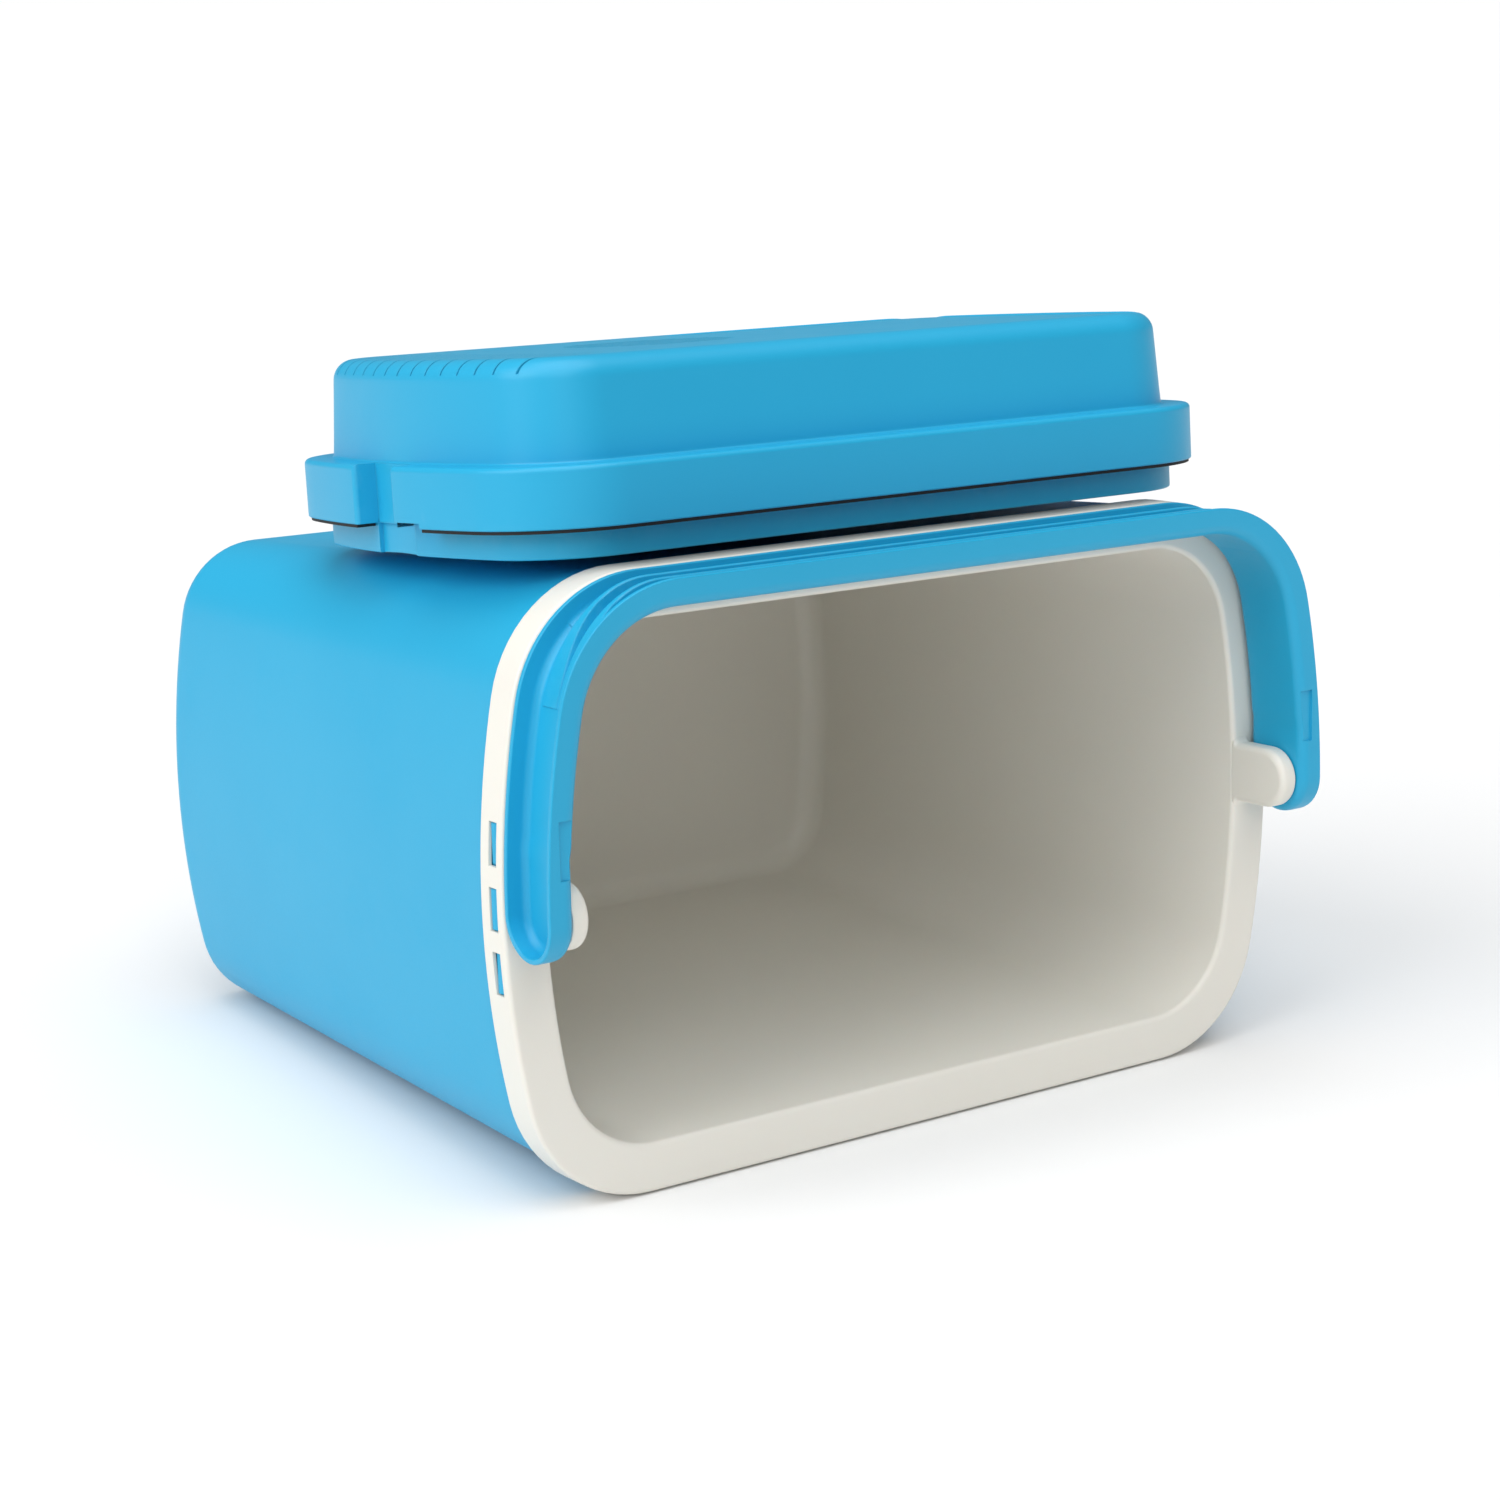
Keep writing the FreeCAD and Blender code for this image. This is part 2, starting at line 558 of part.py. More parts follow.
def lid_insulation():
    """Foam slab round the cooling unit."""
    plan = SKIRT.inset(HOUSING_INSET + HOUSING_DRAFT + LID_WALL + FIT_GAP)
    body = plan.prism(PAN_LIFT + PAN_T + FIT_GAP, INSULATION_TOP)
    pocket = max(COLD_SINK_X, GRILLE_SIZE) + 2 * FIT_GAP
    body = body.cut(block(STACK_X, 0, pocket, pocket, 0, COLD_SINK_TOP + FIT_GAP))
    neck = SPACER_SIZE + 2 * FIT_GAP
    body = body.cut(block(STACK_X, 0, neck, neck, 0, INSULATION_TOP + 1))
    for x, y in boss_places():
        body = body.cut(rod(x, y, 0, INSULATION_TOP + 1, BOSS_R + FIT_GAP))
    for x, y in clamp_places():
        body = body.cut(rod(x, y, 0, INSULATION_TOP + 1, CLAMP_SCREW_R + FIT_GAP))
    half = SLOT_WIDTH / 2 + LID_WALL + PLUG_WALL + FIT_GAP
    x = LID_HALF_LENGTH - SLOT_DEPTH - LID_WALL - PLUG_WALL - PLUG_RECESS - FIT_GAP
    for piece in both_ends(box(x, LID_HALF_LENGTH, -half, half, 0, INSULATION_TOP + 1)):
        body = body.cut(piece)
    return body


# ================================================================ the cooling unit
GRILLE_BOTTOM = -GRILLE_PROUD
COLD_FAN_BOTTOM = GRILLE_BOTTOM + GRILLE_T
COLD_FIN_BOTTOM = COLD_FAN_BOTTOM + COLD_FAN_T
COLD_BASE_BOTTOM = COLD_FIN_BOTTOM + COLD_FIN_H
COLD_SINK_TOP = COLD_BASE_BOTTOM + SINK_BASE_T
SPACER_TOP = INSULATION_TOP
MODULE_TOP = SPACER_TOP + MODULE_T
HOT_BASE_TOP = MODULE_TOP + SINK_BASE_T
HOT_FIN_TOP = HOT_BASE_TOP + HOT_FIN_H
HOT_FAN_TOP = HOT_FIN_TOP + HOT_FAN_T


def clamp_places():
    half = CLAMP_SPACING / 2
    return [(STACK_X + sx * half, sy * half) for sx in (-1, 1) for sy in (-1, 1)]


def cold_grille():
    """Slotted cap over the cold fan, proud of the lid's underside."""
    z1 = GRILLE_BOTTOM + GRILLE_T
    plate = block(STACK_X, 0, GRILLE_SIZE, GRILLE_SIZE, GRILLE_BOTTOM, PAN_LIFT + PAN_T)
    plate = fillet_at(plate, GRILLE_BOTTOM, GRILLE_EDGE_R)
    inside = GRILLE_SIZE - 2 * GRILLE_T
    plate = plate.cut(block(STACK_X, 0, inside, inside, z1, PAN_LIFT + PAN_T + 1))
    pitch = (GRILLE_SIZE - 2 * GRILLE_EDGE) / GRILLE_SLOTS
    length = (GRILLE_SIZE - GRILLE_BAR) / 2 - GRILLE_SLOT_MARGIN
    for i in range(GRILLE_SLOTS):
        y = (i - (GRILLE_SLOTS - 1) / 2) * pitch
        for side in (-1, 1):
            x = STACK_X + side * (length + GRILLE_BAR) / 2
            plate = plate.cut(block(x, y, length, GRILLE_SLOT_W, GRILLE_BOTTOM - 1, z1 + 1))
    return plate


def fan_frame(size, z0, z1, spider_low):
    """Square fan frame with a hub on a four-armed spider."""
    frame = block(STACK_X, 0, size, size, z0, z1)
    frame = frame.cut(rod(STACK_X, 0, z0 - 1, z1 + 1, size / 2 - FAN_WALL))
    low = z0 if spider_low else z1 - FAN_SPIDER_T
    high = low + FAN_SPIDER_T
    spider = [rod(STACK_X, 0, low, high, FAN_HUB_R),
              block(STACK_X, 0, size - FAN_WALL, FAN_SPIDER_W, low, high),
              block(STACK_X, 0, FAN_SPIDER_W, size - FAN_WALL, low, high)]
    frame = join([frame] + spider)
    bore = FAN_SHAFT_R + FAN_SHAFT_CLEARANCE
    frame = frame.cut(rod(STACK_X, 0, low - 1, high + 1, bore))
    for x, y in fan_screw_places(size):
        frame = frame.cut(rod(x, y, z0 - 1, z1 + 1, CLAMP_SCREW_R + SCREW_CLEARANCE))
    return frame


def fan_screw_places(size):
    half = size / 2 - FAN_SCREW_INSET
    return [(STACK_X + sx * half, sy * half) for sx in (-1, 1) for sy in (-1, 1)]


def fan_rotor(size, z0, z1, spider_low):
    """Hub, slanted blades and the shaft that turns in the frame's hub."""
    low = z0 + FAN_SPIDER_T + FIT_GAP if spider_low else z0 + FIT_GAP
    high = z1 - FIT_GAP if spider_low else z1 - FAN_SPIDER_T - FIT_GAP
    tip = size / 2 - FAN_WALL - FAN_TIP_GAP
    middle = (low + high) / 2
    chord = (high - low) / cos(radians(FAN_BLADE_TILT)) * 2
    parts = [rod(STACK_X, 0, low, high, FAN_HUB_R)]
    swept = rod(STACK_X, 0, low, high, tip)
    for i in range(FAN_BLADES):
        blade = box(FAN_HUB_R - 3, tip + 4, -FAN_BLADE_T / 2, FAN_BLADE_T / 2, -chord / 2, chord / 2)
        blade = blade.rotated(V(0, 0, 0), V(1, 0, 0), FAN_BLADE_TILT)
        blade = blade.rotated(V(0, 0, 0), V(0, 0, 1), 360.0 * i / FAN_BLADES)
        parts.append(blade.translated(V(STACK_X, 0, middle)).common(swept))
    shaft = (z0 + FIT_GAP, low + 1) if spider_low else (high - 1, z1 - FIT_GAP)
    parts.append(rod(STACK_X, 0, shaft[0], shaft[1], FAN_SHAFT_R))
    return join(parts)


def cold_fan_frame():
    return fan_frame(COLD_FAN_SIZE, COLD_FAN_BOTTOM, COLD_FIN_BOTTOM, True)


def cold_fan_rotor():
    return fan_rotor(COLD_FAN_SIZE, COLD_FAN_BOTTOM, COLD_FIN_BOTTOM, True)


def hot_fan_frame():
    return fan_frame(HOT_FAN_SIZE, HOT_FIN_TOP, HOT_FAN_TOP, False)


def hot_fan_rotor():
    return fan_rotor(HOT_FAN_SIZE, HOT_FIN_TOP, HOT_FAN_TOP, False)


def heat_sink(size_x, size_y, base_z0, fin_z, fins):
    """Finned plate; the fins run along x on the side of the base that fin_z names."""
    base_z1 = base_z0 + SINK_BASE_T
    parts = [block(STACK_X, 0, size_x, size_y, base_z0, base_z1)]
    low, high = (fin_z, base_z0) if fin_z < base_z0 else (base_z1, fin_z)
    pitch = (size_y - FIN_T) / (fins - 1)
    for i in range(fins):
        y = -size_y / 2 + FIN_T / 2 + i * pitch
        parts.append(block(STACK_X, y, size_x, FIN_T, low, high))
    return join(parts)


def cold_heat_sink():
    sink = heat_sink(COLD_SINK_X, COLD_SINK_Y, COLD_BASE_BOTTOM, COLD_FIN_BOTTOM, COLD_FINS)
    for x, y in clamp_places():
        sink = sink.cut(rod(x, y, COLD_FIN_BOTTOM, COLD_SINK_TOP, CLAMP_SCREW_R + SCREW_CLEARANCE))
        sink = sink.cut(rod(x, y, COLD_FIN_BOTTOM, COLD_BASE_BOTTOM, SCREW_HEAD_R + SCREW_CLEARANCE))
    return sink


def hot_heat_sink():
    sink = heat_sink(HOT_SINK_X, HOT_SINK_Y, MODULE_TOP, HOT_FIN_TOP, HOT_FINS)
    for x, y in clamp_places():
        sink = sink.cut(rod(x, y, MODULE_TOP, HOT_FIN_TOP, CLAMP_SCREW_R + SCREW_CLEARANCE))
    return sink


def clamp_screws():
    """Four long screws that clamp the module between the two sinks, heads on the cold side."""
    screws = []
    for x, y in clamp_places():
        head = rod(x, y, COLD_BASE_BOTTOM - SCREW_HEAD_T, COLD_BASE_BOTTOM, SCREW_HEAD_R)
        shank = rod(x, y, COLD_BASE_BOTTOM, HOT_BASE_TOP - FIT_GAP, CLAMP_SCREW_R)
        screws.append(join([head, shank]))
    return Part.makeCompound(screws)


def spacer_block():
    return block(STACK_X, 0, SPACER_SIZE, SPACER_SIZE, COLD_SINK_TOP, SPACER_TOP)


def cooling_module():
    """Ceramic plates of the module with the row of couples between them as one slab."""
    plate_t = MODULE_T / 5
    low = block(STACK_X, 0, MODULE_SIZE, MODULE_SIZE, SPACER_TOP, SPACER_TOP + plate_t)
    high = block(STACK_X, 0, MODULE_SIZE, MODULE_SIZE, MODULE_TOP - plate_t, MODULE_TOP)
    couples = block(STACK_X, 0, MODULE_SIZE - 2, MODULE_SIZE - 2,
                    SPACER_TOP + plate_t, MODULE_TOP - plate_t)
    return join([low, couples, high])


def lid_screws():
    """Six screws from below through the base plate into the cover's bosses."""
    screws = []
    for x, y in boss_places():
        head = rod(x, y, PAN_LIFT - SCREW_HEAD_T / 4, PAN_LIFT, SCREW_HEAD_R)
        shank = rod(x, y, PAN_LIFT, LID_SCREW_LENGTH, LID_SCREW_R)
        screws.append(join([head, shank]))
    return Part.makeCompound(screws)


# ================================================================ the electrics
def control_board():
    """Board on four stand-offs that rest on the insulation, with its larger parts."""
    z0 = INSULATION_TOP + BOARD_STANDOFF
    z1 = z0 + BOARD_T
    parts = [block(BOARD_X, 0, BOARD_SIZE_X, BOARD_SIZE_Y, z0, z1)]
    for sx in (-1, 1):
        for sy in (-1, 1):
            x = BOARD_X + sx * (BOARD_SIZE_X / 2 - STANDOFF_INSET)
            y = sy * (BOARD_SIZE_Y / 2 - STANDOFF_INSET)
            parts.append(rod(x, y, INSULATION_TOP, z0, STANDOFF_R))
    left = BOARD_X - BOARD_SIZE_X / 4
    right = BOARD_X + BOARD_SIZE_X / 5
    row = BOARD_SIZE_Y / 4
    for x, y, size in ((left, row, COIL_SIZE), (right, -row, TERMINAL_SIZE), (left, -row, CHIP_SIZE)):
        parts.append(block(x, y, size[0], size[1], z1, z1 + size[2]))
    for side in (-1, 1):
        x = right + side * (CAPACITOR_R + 1)
        parts.append(rod(x, row, z1, z1 + CAPACITOR_H, CAPACITOR_R))
    return join(parts)


def power_inlet():
    """Round two-pin low-voltage inlet, open at the back of the lid."""
    face = CONTROL_FACE_Y + INLET_LIP_GAP
    body = rod_y(INLET_X, face - INLET_DEPTH, face, CONTROL_Z, INLET_R)
    lip = rod_y(INLET_X, face, face + INLET_LIP_T, CONTROL_Z, INLET_LIP_R)
    inlet = join([body, lip])
    back = face - INLET_DEPTH
    mouth = rod_y(INLET_X, back + INLET_FLOOR, face + INLET_LIP_T + 1, CONTROL_Z, INLET_R - INLET_WALL)
    parts = [inlet.cut(mouth)]
    for side in (-1, 1):
        x = INLET_X + side * PIN_SPACING / 2
        parts.append(rod_y(x, back + INLET_FLOOR / 2, face - PIN_DROP, CONTROL_Z, PIN_R))
    return join(parts)


def switch_housing():
    """Fixed body of the slide switch, with the slot its knob travels in."""
    face = CONTROL_FACE_Y
    body = box(SWITCH_X - SWITCH_LENGTH / 2, SWITCH_X + SWITCH_LENGTH / 2, face - SWITCH_DEPTH,
               face + SWITCH_PROUD, CONTROL_Z - SWITCH_HEIGHT / 2, CONTROL_Z + SWITCH_HEIGHT / 2)
    half_x = SWITCH_KNOB_X / 2 + SWITCH_TRAVEL + SWITCH_GAP
    half_z = SWITCH_KNOB_Z / 2 + SWITCH_GAP
    slot = box(SWITCH_X - half_x, SWITCH_X + half_x, face - SWITCH_DEPTH + SWITCH_FLOOR,
               face + SWITCH_PROUD + 1, CONTROL_Z - half_z, CONTROL_Z + half_z)
    return body.cut(slot)


def mode_switch():
    """Sliding knob: cool, off, warm."""
    face = CONTROL_FACE_Y
    return box(SWITCH_X - SWITCH_KNOB_X / 2, SWITCH_X + SWITCH_KNOB_X / 2,
               face - SWITCH_DEPTH + SWITCH_FLOOR + SWITCH_GAP, face + KNOB_PROUD,
               CONTROL_Z - SWITCH_KNOB_Z / 2, CONTROL_Z + SWITCH_KNOB_Z / 2)


def status_lamp():
    """Lens of the lamp that shows the unit is on."""
    face = CONTROL_FACE_Y
    back = face - LAMP_DEPTH
    stem = rod_y(LAMP_X, back, face + LAMP_PROUD, CONTROL_Z, LAMP_R)
    return join([stem, rod_y(LAMP_X, back, back + LAMP_FLANGE_T, CONTROL_Z, LAMP_FLANGE_R)])


# ================================================================ laying the pieces down
def box_tilt():
    """Degrees by which the box's axis dips, so that it lies on its collar and its drafted wall."""
    run = BOX_HEIGHT - COLLAR_DEPTH - BASE_FILLET_R
    low_wall = BASE.toward(COLLAR, BASE_FILLET_R / BOX_HEIGHT).half_width - SHELL_STEP
    return degrees(atan2(BOX_WIDTH / 2 - low_wall, run))


def lay_box():
    """Placement that takes the standing box to where it lies, its rim centre over y = 0."""
    turn = FreeCAD.Rotation(V(1, 0, 0), 90 - box_tilt())
    lowest = turn.multVec(V(0, -BOX_WIDTH / 2, BOX_HEIGHT - COLLAR_DEPTH)).z
    rim = turn.multVec(V(0, 0, BOX_HEIGHT)).y
    return FreeCAD.Placement(V(0, -rim, -lowest), turn)


def lay_lid():
    """Placement of the standing lid on the box's upper wall."""
    slope = degrees(atan2(DRAFT_Y, BOX_HEIGHT))
    z = BOX_HEIGHT - LID_LIE_DEPTH
    wall = BASE.toward(COLLAR, z / BOX_HEIGHT).half_width - SHELL_STEP
    seat = V(LID_LIE_X, wall + LID_LIE_GAP + GRILLE_PROUD, z)
    turn = FreeCAD.Rotation(V(1, 0, 0), -(90 + slope))
    yaw = FreeCAD.Rotation(V(0, 0, 1), LID_LIE_YAW)
    return lay_box().multiply(FreeCAD.Placement(seat, turn.multiply(yaw)))


BOX_NODES = {
    "outer_shell": outer_shell,
    "inner_liner": inner_liner,
    "wall_insulation": wall_insulation,
    "carry_handle": carry_handle,
}
LID_NODES = {
    "lid_cover": lid_cover,
    "lid_base": lid_base,
    "lid_seal": lid_seal,
    "lid_insulation": lid_insulation,
    "cold_grille": cold_grille,
    "cold_fan_frame": cold_fan_frame,
    "cold_fan_rotor": cold_fan_rotor,
    "cold_heat_sink": cold_heat_sink,
    "spacer_block": spacer_block,
    "cooling_module": cooling_module,
    "hot_heat_sink": hot_heat_sink,
    "hot_fan_frame": hot_fan_frame,
    "hot_fan_rotor": hot_fan_rotor,
    "clamp_screws": clamp_screws,
    "lid_screws": lid_screws,
    "control_board": control_board,
    "power_inlet": power_inlet,
    "switch_housing": switch_housing,
    "mode_switch": mode_switch,
    "status_lamp": status_lamp,
}


def build():
    """Every node where it lies, by name, with the floor's centre of the whole as the origin."""
    shapes = {}
    for nodes, placement in ((BOX_NODES, lay_box()), (LID_NODES, lay_lid())):
        for name, make in nodes.items():
            shape = make()
            shape.Placement = placement.multiply(shape.Placement)
            shapes[name] = shape
    return shapes


def origin_shift(shapes):
    """Offset from the laid pieces to the middle of their footprint on the floor."""
    extent = FreeCAD.BoundBox()
    for shape in shapes.values():
        extent.add(shape.optimalBoundingBox(False, False))
    return V(-extent.Center.x, -extent.Center.y, -extent.ZMin)


def main():
    os.makedirs("parts", exist_ok=True)
    shapes = build()
    shift = origin_shift(shapes)
    for name, shape in shapes.items():
        placed = shape.translated(shift)
        placed.exportStep("parts/" + name + ".step")
        print(name, len(placed.Solids), round(placed.Volume / 1000, 1), placed.isValid())
    print("shift", shift)


if __name__ == "__main__":
    main()
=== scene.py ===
"""Looks of a cooler chest that lies on its side with its lid off.

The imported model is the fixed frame. The large mouldings are modelled anew inside it as loops of
points skinned over each other, with the round edges, channels and slots that the real mouldings
have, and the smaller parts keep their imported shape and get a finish. Shapes are worked out in
millimetres in the standing frame of the tub or of the lid and then laid where the model has them.
"""

import json
import logging
import math
from collections.abc import Sequence
from dataclasses import dataclass, field
from enum import Enum
from typing import Any

import bmesh
import bpy
from mathutils import Matrix, Vector


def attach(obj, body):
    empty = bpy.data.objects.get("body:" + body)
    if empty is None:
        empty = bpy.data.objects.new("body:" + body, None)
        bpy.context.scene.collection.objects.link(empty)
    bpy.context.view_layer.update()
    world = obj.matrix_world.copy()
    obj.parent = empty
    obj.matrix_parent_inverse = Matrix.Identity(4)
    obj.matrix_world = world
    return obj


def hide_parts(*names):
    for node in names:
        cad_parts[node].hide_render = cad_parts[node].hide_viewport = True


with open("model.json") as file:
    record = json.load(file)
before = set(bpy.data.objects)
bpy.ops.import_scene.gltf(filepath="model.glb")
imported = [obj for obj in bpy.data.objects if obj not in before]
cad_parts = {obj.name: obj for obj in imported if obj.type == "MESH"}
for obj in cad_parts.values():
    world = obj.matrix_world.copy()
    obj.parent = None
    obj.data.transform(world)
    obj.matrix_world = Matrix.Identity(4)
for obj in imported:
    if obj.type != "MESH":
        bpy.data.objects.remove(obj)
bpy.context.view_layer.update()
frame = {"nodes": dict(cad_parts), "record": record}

LOG = logging.getLogger("cooler_chest")
MM = 0.001
END_STEPS = 12              # steps of half a short side
CORNER_STEPS = 14
SIDE_STEPS = 12             # steps of half a long side
CREASE_ANGLE = math.radians(38.0)   # faces that meet at more than this keep a sharp edge
WELD_REACH = 0.004          # points this near are one, mm
LEAST_CORNER = 0.5          # smallest radius of an outline's corner, mm
CLEAR = 1.0                 # cutters reach this far past what they cut, mm
EDGE_BREAK = 0.35           # smallest bevel of a moulded edge, mm
AXIS_HOLE = 0.4             # radius left at the middle of a turned face, mm
SLIVER = 0.02               # keeps two faces from lying on each other, mm
NORMAL_WEIGHT = 60          # 50 is even; more lets large faces lead the shading
FLAT_RIM = 0.8              # strip beside a rounded edge that keeps its shading flat, mm

Flat = tuple[float, float]
Point = tuple[float, float, float]
Loop = list[Point]


# ------------------------------------------------------------------------------ outlines and skins
@dataclass(frozen=True)
class Outline:
    """A plan outline: straight long sides, bowed short sides and tangent round corners.

    Args:
        half_length: Half the length, to the crown of a short side.
        half_width: Half the width.
        end_r: Radius of the bowed short sides.
        corner_r: Radius of the corners.
    """

    half_length: float
    half_width: float
    end_r: float
    corner_r: float

    def inset(self, depth: float) -> "Outline":
        """The outline a constant distance inside this one."""
        corner = max(self.corner_r - depth, LEAST_CORNER)
        return Outline(self.half_length - depth, self.half_width - depth, self.end_r - depth, corner)

    def toward(self, other: "Outline", share: float) -> "Outline":
        """The outline a share of the way to another one."""
        mine = (self.half_length, self.half_width, self.end_r, self.corner_r)
        theirs = (other.half_length, other.half_width, other.end_r, other.corner_r)
        return Outline(*[a + (b - a) * share for a, b in zip(mine, theirs)])

    def bow_centre(self) -> float:
        """Centre of the bow of the +x end, along x."""
        return self.half_length - self.end_r

    def corner_centre(self) -> Flat:
        """Centre of the corner arc in the first quadrant."""
        y = self.half_width - self.corner_r
        x = self.bow_centre() + math.sqrt((self.end_r - self.corner_r) ** 2 - y**2)
        return x, y

    def end_x(self, y: float) -> float:
        """Where the bowed end lies at a distance y from the middle."""
        return self.bow_centre() + math.sqrt(self.end_r**2 - y**2)

    def station(self, place: float) -> Flat:
        """A point of the first quadrant by its place along the outline.

        Args:
            place: 0 to 1 runs up the bowed end, 1 to 2 round the corner and 2 to 3 along the side.

        Returns:
            The point's x and y.
        """
        cx, cy = self.corner_centre()
        tangent = math.atan2(cy, cx - self.bow_centre())
        if place <= 1.0:
            angle = tangent * place
            return self.bow_centre() + self.end_r * math.cos(angle), self.end_r * math.sin(angle)
        if place <= 2.0:
            angle = tangent + (math.pi / 2 - tangent) * (place - 1.0)
            return cx + self.corner_r * math.cos(angle), cy + self.corner_r * math.sin(angle)
        return cx * (3.0 - place), self.half_width

    def loop(self, z: float) -> Loop:
        """The whole outline at a height, as a closed loop that starts at the middle of the +x end."""
        places = [i / END_STEPS for i in range(END_STEPS)]
        places += [1 + i / CORNER_STEPS for i in range(CORNER_STEPS)]
        places += [2 + i / SIDE_STEPS for i in range(SIDE_STEPS + 1)]
        quarter = [self.station(place) for place in places]
        flat = quarter + [(-x, y) for x, y in reversed(quarter[:-1])]
        flat += [(-x, -y) for x, y in quarter[1:]]
        flat += [(x, -y) for x, y in reversed(quarter[1:-1])]
        return [(x, y, z) for x, y in flat]


def turns(start: float, end: float, steps: int) -> list[float]:
    """Even angles from one to another, both given in degrees, as radians."""
    return [math.radians(start + (end - start) * i / steps) for i in range(steps + 1)]


def bend(x: float, y: float, radius: float, start: float, end: float, steps: int) -> list[Flat]:
    """Points of an arc about a centre, from one angle to another in degrees."""
    return [(x + radius * math.cos(a), y + radius * math.sin(a)) for a in turns(start, end, steps)]


def arc(inset: float, z: float, radius: float, start: float, end: float, steps: int) -> list[Flat]:
    """Points of a section's round edge, as insets and heights.

    Args:
        inset: The arc's centre, in from the outline.
        z: The arc's centre, in height.
        radius: The arc's radius.
        start: First angle in degrees, where 0 points outwards and 90 points up.
        end: Last angle in degrees.
        steps: How many steps the arc has.

    Returns:
        The points in order.
    """
    return [(-x, y) for x, y in bend(-inset, z, radius, start, end, steps)]


class Skin:
    """A mesh in the making, in millimetres of a standing frame."""

    def __init__(self) -> None:
        """Starts with nothing."""
        self.points: list[Point] = []
        self.faces: list[tuple[int, ...]] = []

    def add_loop(self, loop: Sequence[Point]) -> range:
        """Adds a loop's points and returns their numbers."""
        start = len(self.points)
        self.points.extend(loop)
        return range(start, len(self.points))

    def tube(self, loops: Sequence[Sequence[Point]], cap_ends: bool = True) -> "Skin":
        """Skins closed loops over each other.

        Args:
            loops: The loops in order, all with as many points.
            cap_ends: Whether the first and the last loop are closed with a face.

        Returns:
            This skin.
        """
        rows = [self.add_loop(loop) for loop in loops]
        count = len(loops[0])
        for low, high in zip(rows, rows[1:]):
            for i in range(count):
                j = (i + 1) % count
                self.faces.append((low[i], low[j], high[j], high[i]))
        if cap_ends:
            self.faces.append(tuple(reversed(rows[0])))
            self.faces.append(tuple(rows[-1]))
        return self

    def prism(self, outline: Sequence[Flat], low: float, high: float) -> "Skin":
        """Adds a solid with upright sides over a plan, between two heights."""
        return self.tube([[(x, y, z) for x, y in outline] for z in (low, high)])

    def block(self, low: Point, high: Point) -> "Skin":
        """Adds a plain block between two corners, for cutting."""
        corners = [(low[0], low[1]), (high[0], low[1]), (high[0], high[1]), (low[0], high[1])]
        return self.prism(corners, low[2], high[2])

    def lathe(self, section: Sequence[Flat], centre: Point, axis: str, steps: int = 48) -> "Skin":
        """Adds a solid of revolution.

        Args:
            section: Radii and distances along the axis, from one end to the other.
            centre: Where distance 0 lies.
            axis: "x", "y" or "z".
            steps: How many steps go round.

        Returns:
            This skin.
        """
        order = {"x": (2, 0, 1), "y": (1, 2, 0), "z": (0, 1, 2)}[axis]
        loops = []
        for radius, along in section:
            loop = []
            for i in range(steps):
                angle = 2 * math.pi * i / steps
                local = (radius * math.cos(angle), radius * math.sin(angle), along)
                loop.append(tuple(centre[k] + local[order[k]] for k in range(3)))
            loops.append(loop)
        return self.tube(loops)

    def to_object(self, name: str, lie: Matrix) -> bpy.types.Object:
        """Makes the object, laid in the row's frame.

        Args:
            name: The piece's name.
            lie: Takes a point of the standing frame, in millimetres, to the row's frame.

        Returns:
            The new object.
        """
        mesh = bpy.data.meshes.new(name)
        mesh.from_pydata([lie @ Vector(p) for p in self.points], [], self.faces)
        work = bmesh.new()
        work.from_mesh(mesh)
        bmesh.ops.remove_doubles(work, verts=work.verts, dist=WELD_REACH * MM)
        bmesh.ops.dissolve_degenerate(work, edges=work.edges, dist=WELD_REACH / 2 * MM)
        bmesh.ops.recalc_face_normals(work, faces=work.faces)
        work.to_mesh(mesh)
        work.free()
        piece = bpy.data.objects.new(name, mesh)
        bpy.context.scene.collection.objects.link(piece)
        return piece


def cut_away(piece: bpy.types.Object, cutter: Skin, lie: Matrix) -> None:
    """Takes a cutter's solids out of a piece.

    Args:
        piece: The piece, whose mesh is replaced.
        cutter: The solids to take out, none of which touch each other.
        lie: The frame that the cutter is in.
    """
    tool = cutter.to_object(piece.name + "_cutter", lie)
    step = piece.modifiers.new("cut", "BOOLEAN")
    step.operation = "DIFFERENCE"
    step.solver = "EXACT"
    step.object = tool
    bpy.context.view_layer.update()
    graph = bpy.context.evaluated_depsgraph_get()
    result = bpy.data.meshes.new_from_object(piece.evaluated_get(graph))
    piece.modifiers.clear()
    old = piece.data
    piece.data = result
    bpy.data.meshes.remove(old)
    bpy.data.objects.remove(tool)


def smooth(piece: bpy.types.Object, crease: float = CREASE_ANGLE) -> None:
    """Shades a piece smooth, with creases where its faces meet at more than an angle."""
    piece.data.polygons.foreach_set("use_smooth", [True] * len(piece.data.polygons))
    piece.data.set_sharp_from_angle(angle=crease)
    weighted = piece.modifiers.new("even_normals", "WEIGHTED_NORMAL")
    weighted.keep_sharp = True
    weighted.weight = NORMAL_WEIGHT


